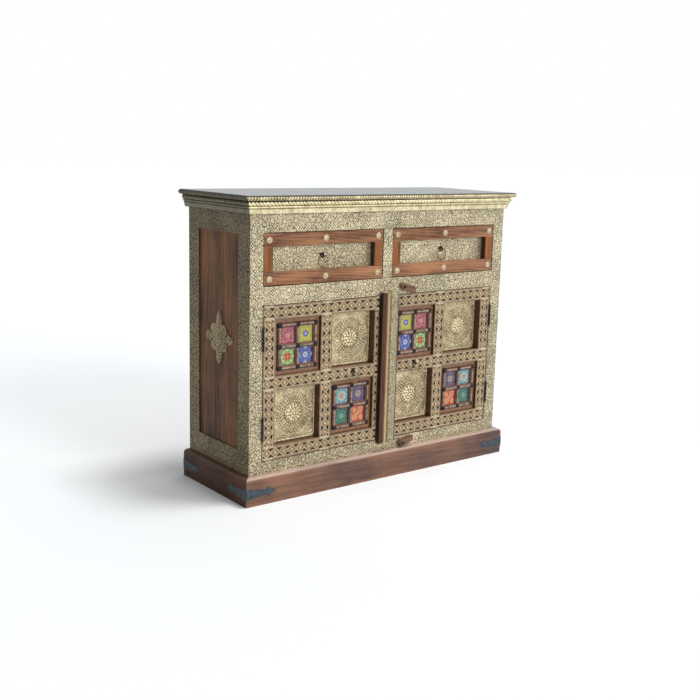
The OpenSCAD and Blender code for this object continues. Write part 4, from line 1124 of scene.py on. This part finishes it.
# Suns: name, strength, width in degrees, and the way their light goes
SUNS = (("key", 1.0, 20, (-0.2, 0.9, -0.4)), ("right_light", 1.5, 16, (-0.3, 0.2, -1.0)))

# The camera as fitted to the photograph's straight edges: turn, tilt and roll in degrees, place in metres
CAMERA_ANGLES = (37.9, -11.34, 1.55)
CAMERA_PLACE = (-2.0413, -2.6106, 1.0485)
FOCAL_PIXELS = 1031.2
PHOTO_PIXELS = 700
SENSOR = 36


def shown_to(tree):
    """1 for the rays that show a background: the camera's, and those off metal or through glass."""
    rays = tree.nodes.new("ShaderNodeLightPath").outputs
    camera = Num(tree, rays["Is Camera Ray"])
    return high(camera, high(Num(tree, rays["Is Glossy Ray"]), Num(tree, rays["Is Transmission Ray"])))


floor_paint = bpy.data.materials.new("floor")
tree = empty_tree(floor_paint)
matt = tree.nodes.new("ShaderNodeBsdfDiffuse")
lift = tree.nodes.new("ShaderNodeEmission")
put(lift.inputs[0], BRIGHT_TONE)
seen = shown_to(tree)
put(lift.inputs[1], seen * FLOOR_GLOW)
put(matt.inputs[0], blend(FLOOR_UNSEEN, FLOOR_SEEN, seen))
both = tree.nodes.new("ShaderNodeAddShader")
put(both.inputs[0], matt.outputs[0])
put(both.inputs[1], lift.outputs[0])
put(tree.nodes.new("ShaderNodeOutputMaterial").inputs[0], both.outputs[0])

floor_corners = [(x * FLOOR_HALF, y * FLOOR_HALF, 0) for x, y in ((-1, -1), (1, -1), (1, 1), (-1, 1))]
floor = add_object("floor", new_mesh("floor", floor_corners, [(0, 1, 2, 3)], floor_paint))

scene = bpy.context.scene
scene.view_settings.view_transform = "Standard"
scene.world = bpy.data.worlds.new("world")
tree = empty_tree(scene.world)
way = tree.nodes.new("ShaderNodeTexCoord").outputs["Generated"]
dot = tree.nodes.new("ShaderNodeVectorMath")
dot.operation = "DOT_PRODUCT"
put(dot.inputs[0], way)
dot.inputs[1].default_value = Vector(BRIGHT_SIDE).normalized()
soft = step(Num(tree, dot.outputs["Value"]), -0.3, 0.8, first=0.07, last=0.82)
seen = shown_to(tree)
background = tree.nodes.new("ShaderNodeBackground")
put(background.inputs[0], blend(DIM_TONE, BRIGHT_TONE, high(soft, seen)))
put(background.inputs[1], soft + (1.0 - soft) * seen)
put(tree.nodes.new("ShaderNodeOutputWorld").inputs[0], background.outputs[0])

for name, energy, wide, towards in SUNS:
    sun = bpy.data.lights.new(name, "SUN")
    sun.energy = energy
    sun.angle = math.radians(wide)
    lamp = add_object(name, sun)
    lamp.rotation_euler = Vector(towards).to_track_quat("-Z", "Y").to_euler()

yaw, pitch, roll = (math.radians(degrees) for degrees in CAMERA_ANGLES)
forward = Vector((math.sin(yaw) * math.cos(pitch), math.cos(yaw) * math.cos(pitch), math.sin(pitch)))
right = Vector((math.cos(yaw), -math.sin(yaw), 0))
up = right.cross(forward)
right_rolled = right * math.cos(roll) + up * math.sin(roll)
up_rolled = up * math.cos(roll) - right * math.sin(roll)
camera = add_object("camera", bpy.data.cameras.new("camera"))
placed = Matrix((right_rolled, up_rolled, -forward)).transposed().to_4x4()
placed.translation = Vector(CAMERA_PLACE)
camera.matrix_world = placed
camera.data.sensor_width = SENSOR
camera.data.lens = SENSOR * FOCAL_PIXELS / PHOTO_PIXELS
camera.data.clip_start = 0.01
camera.data.clip_end = 100
scene.camera = camera
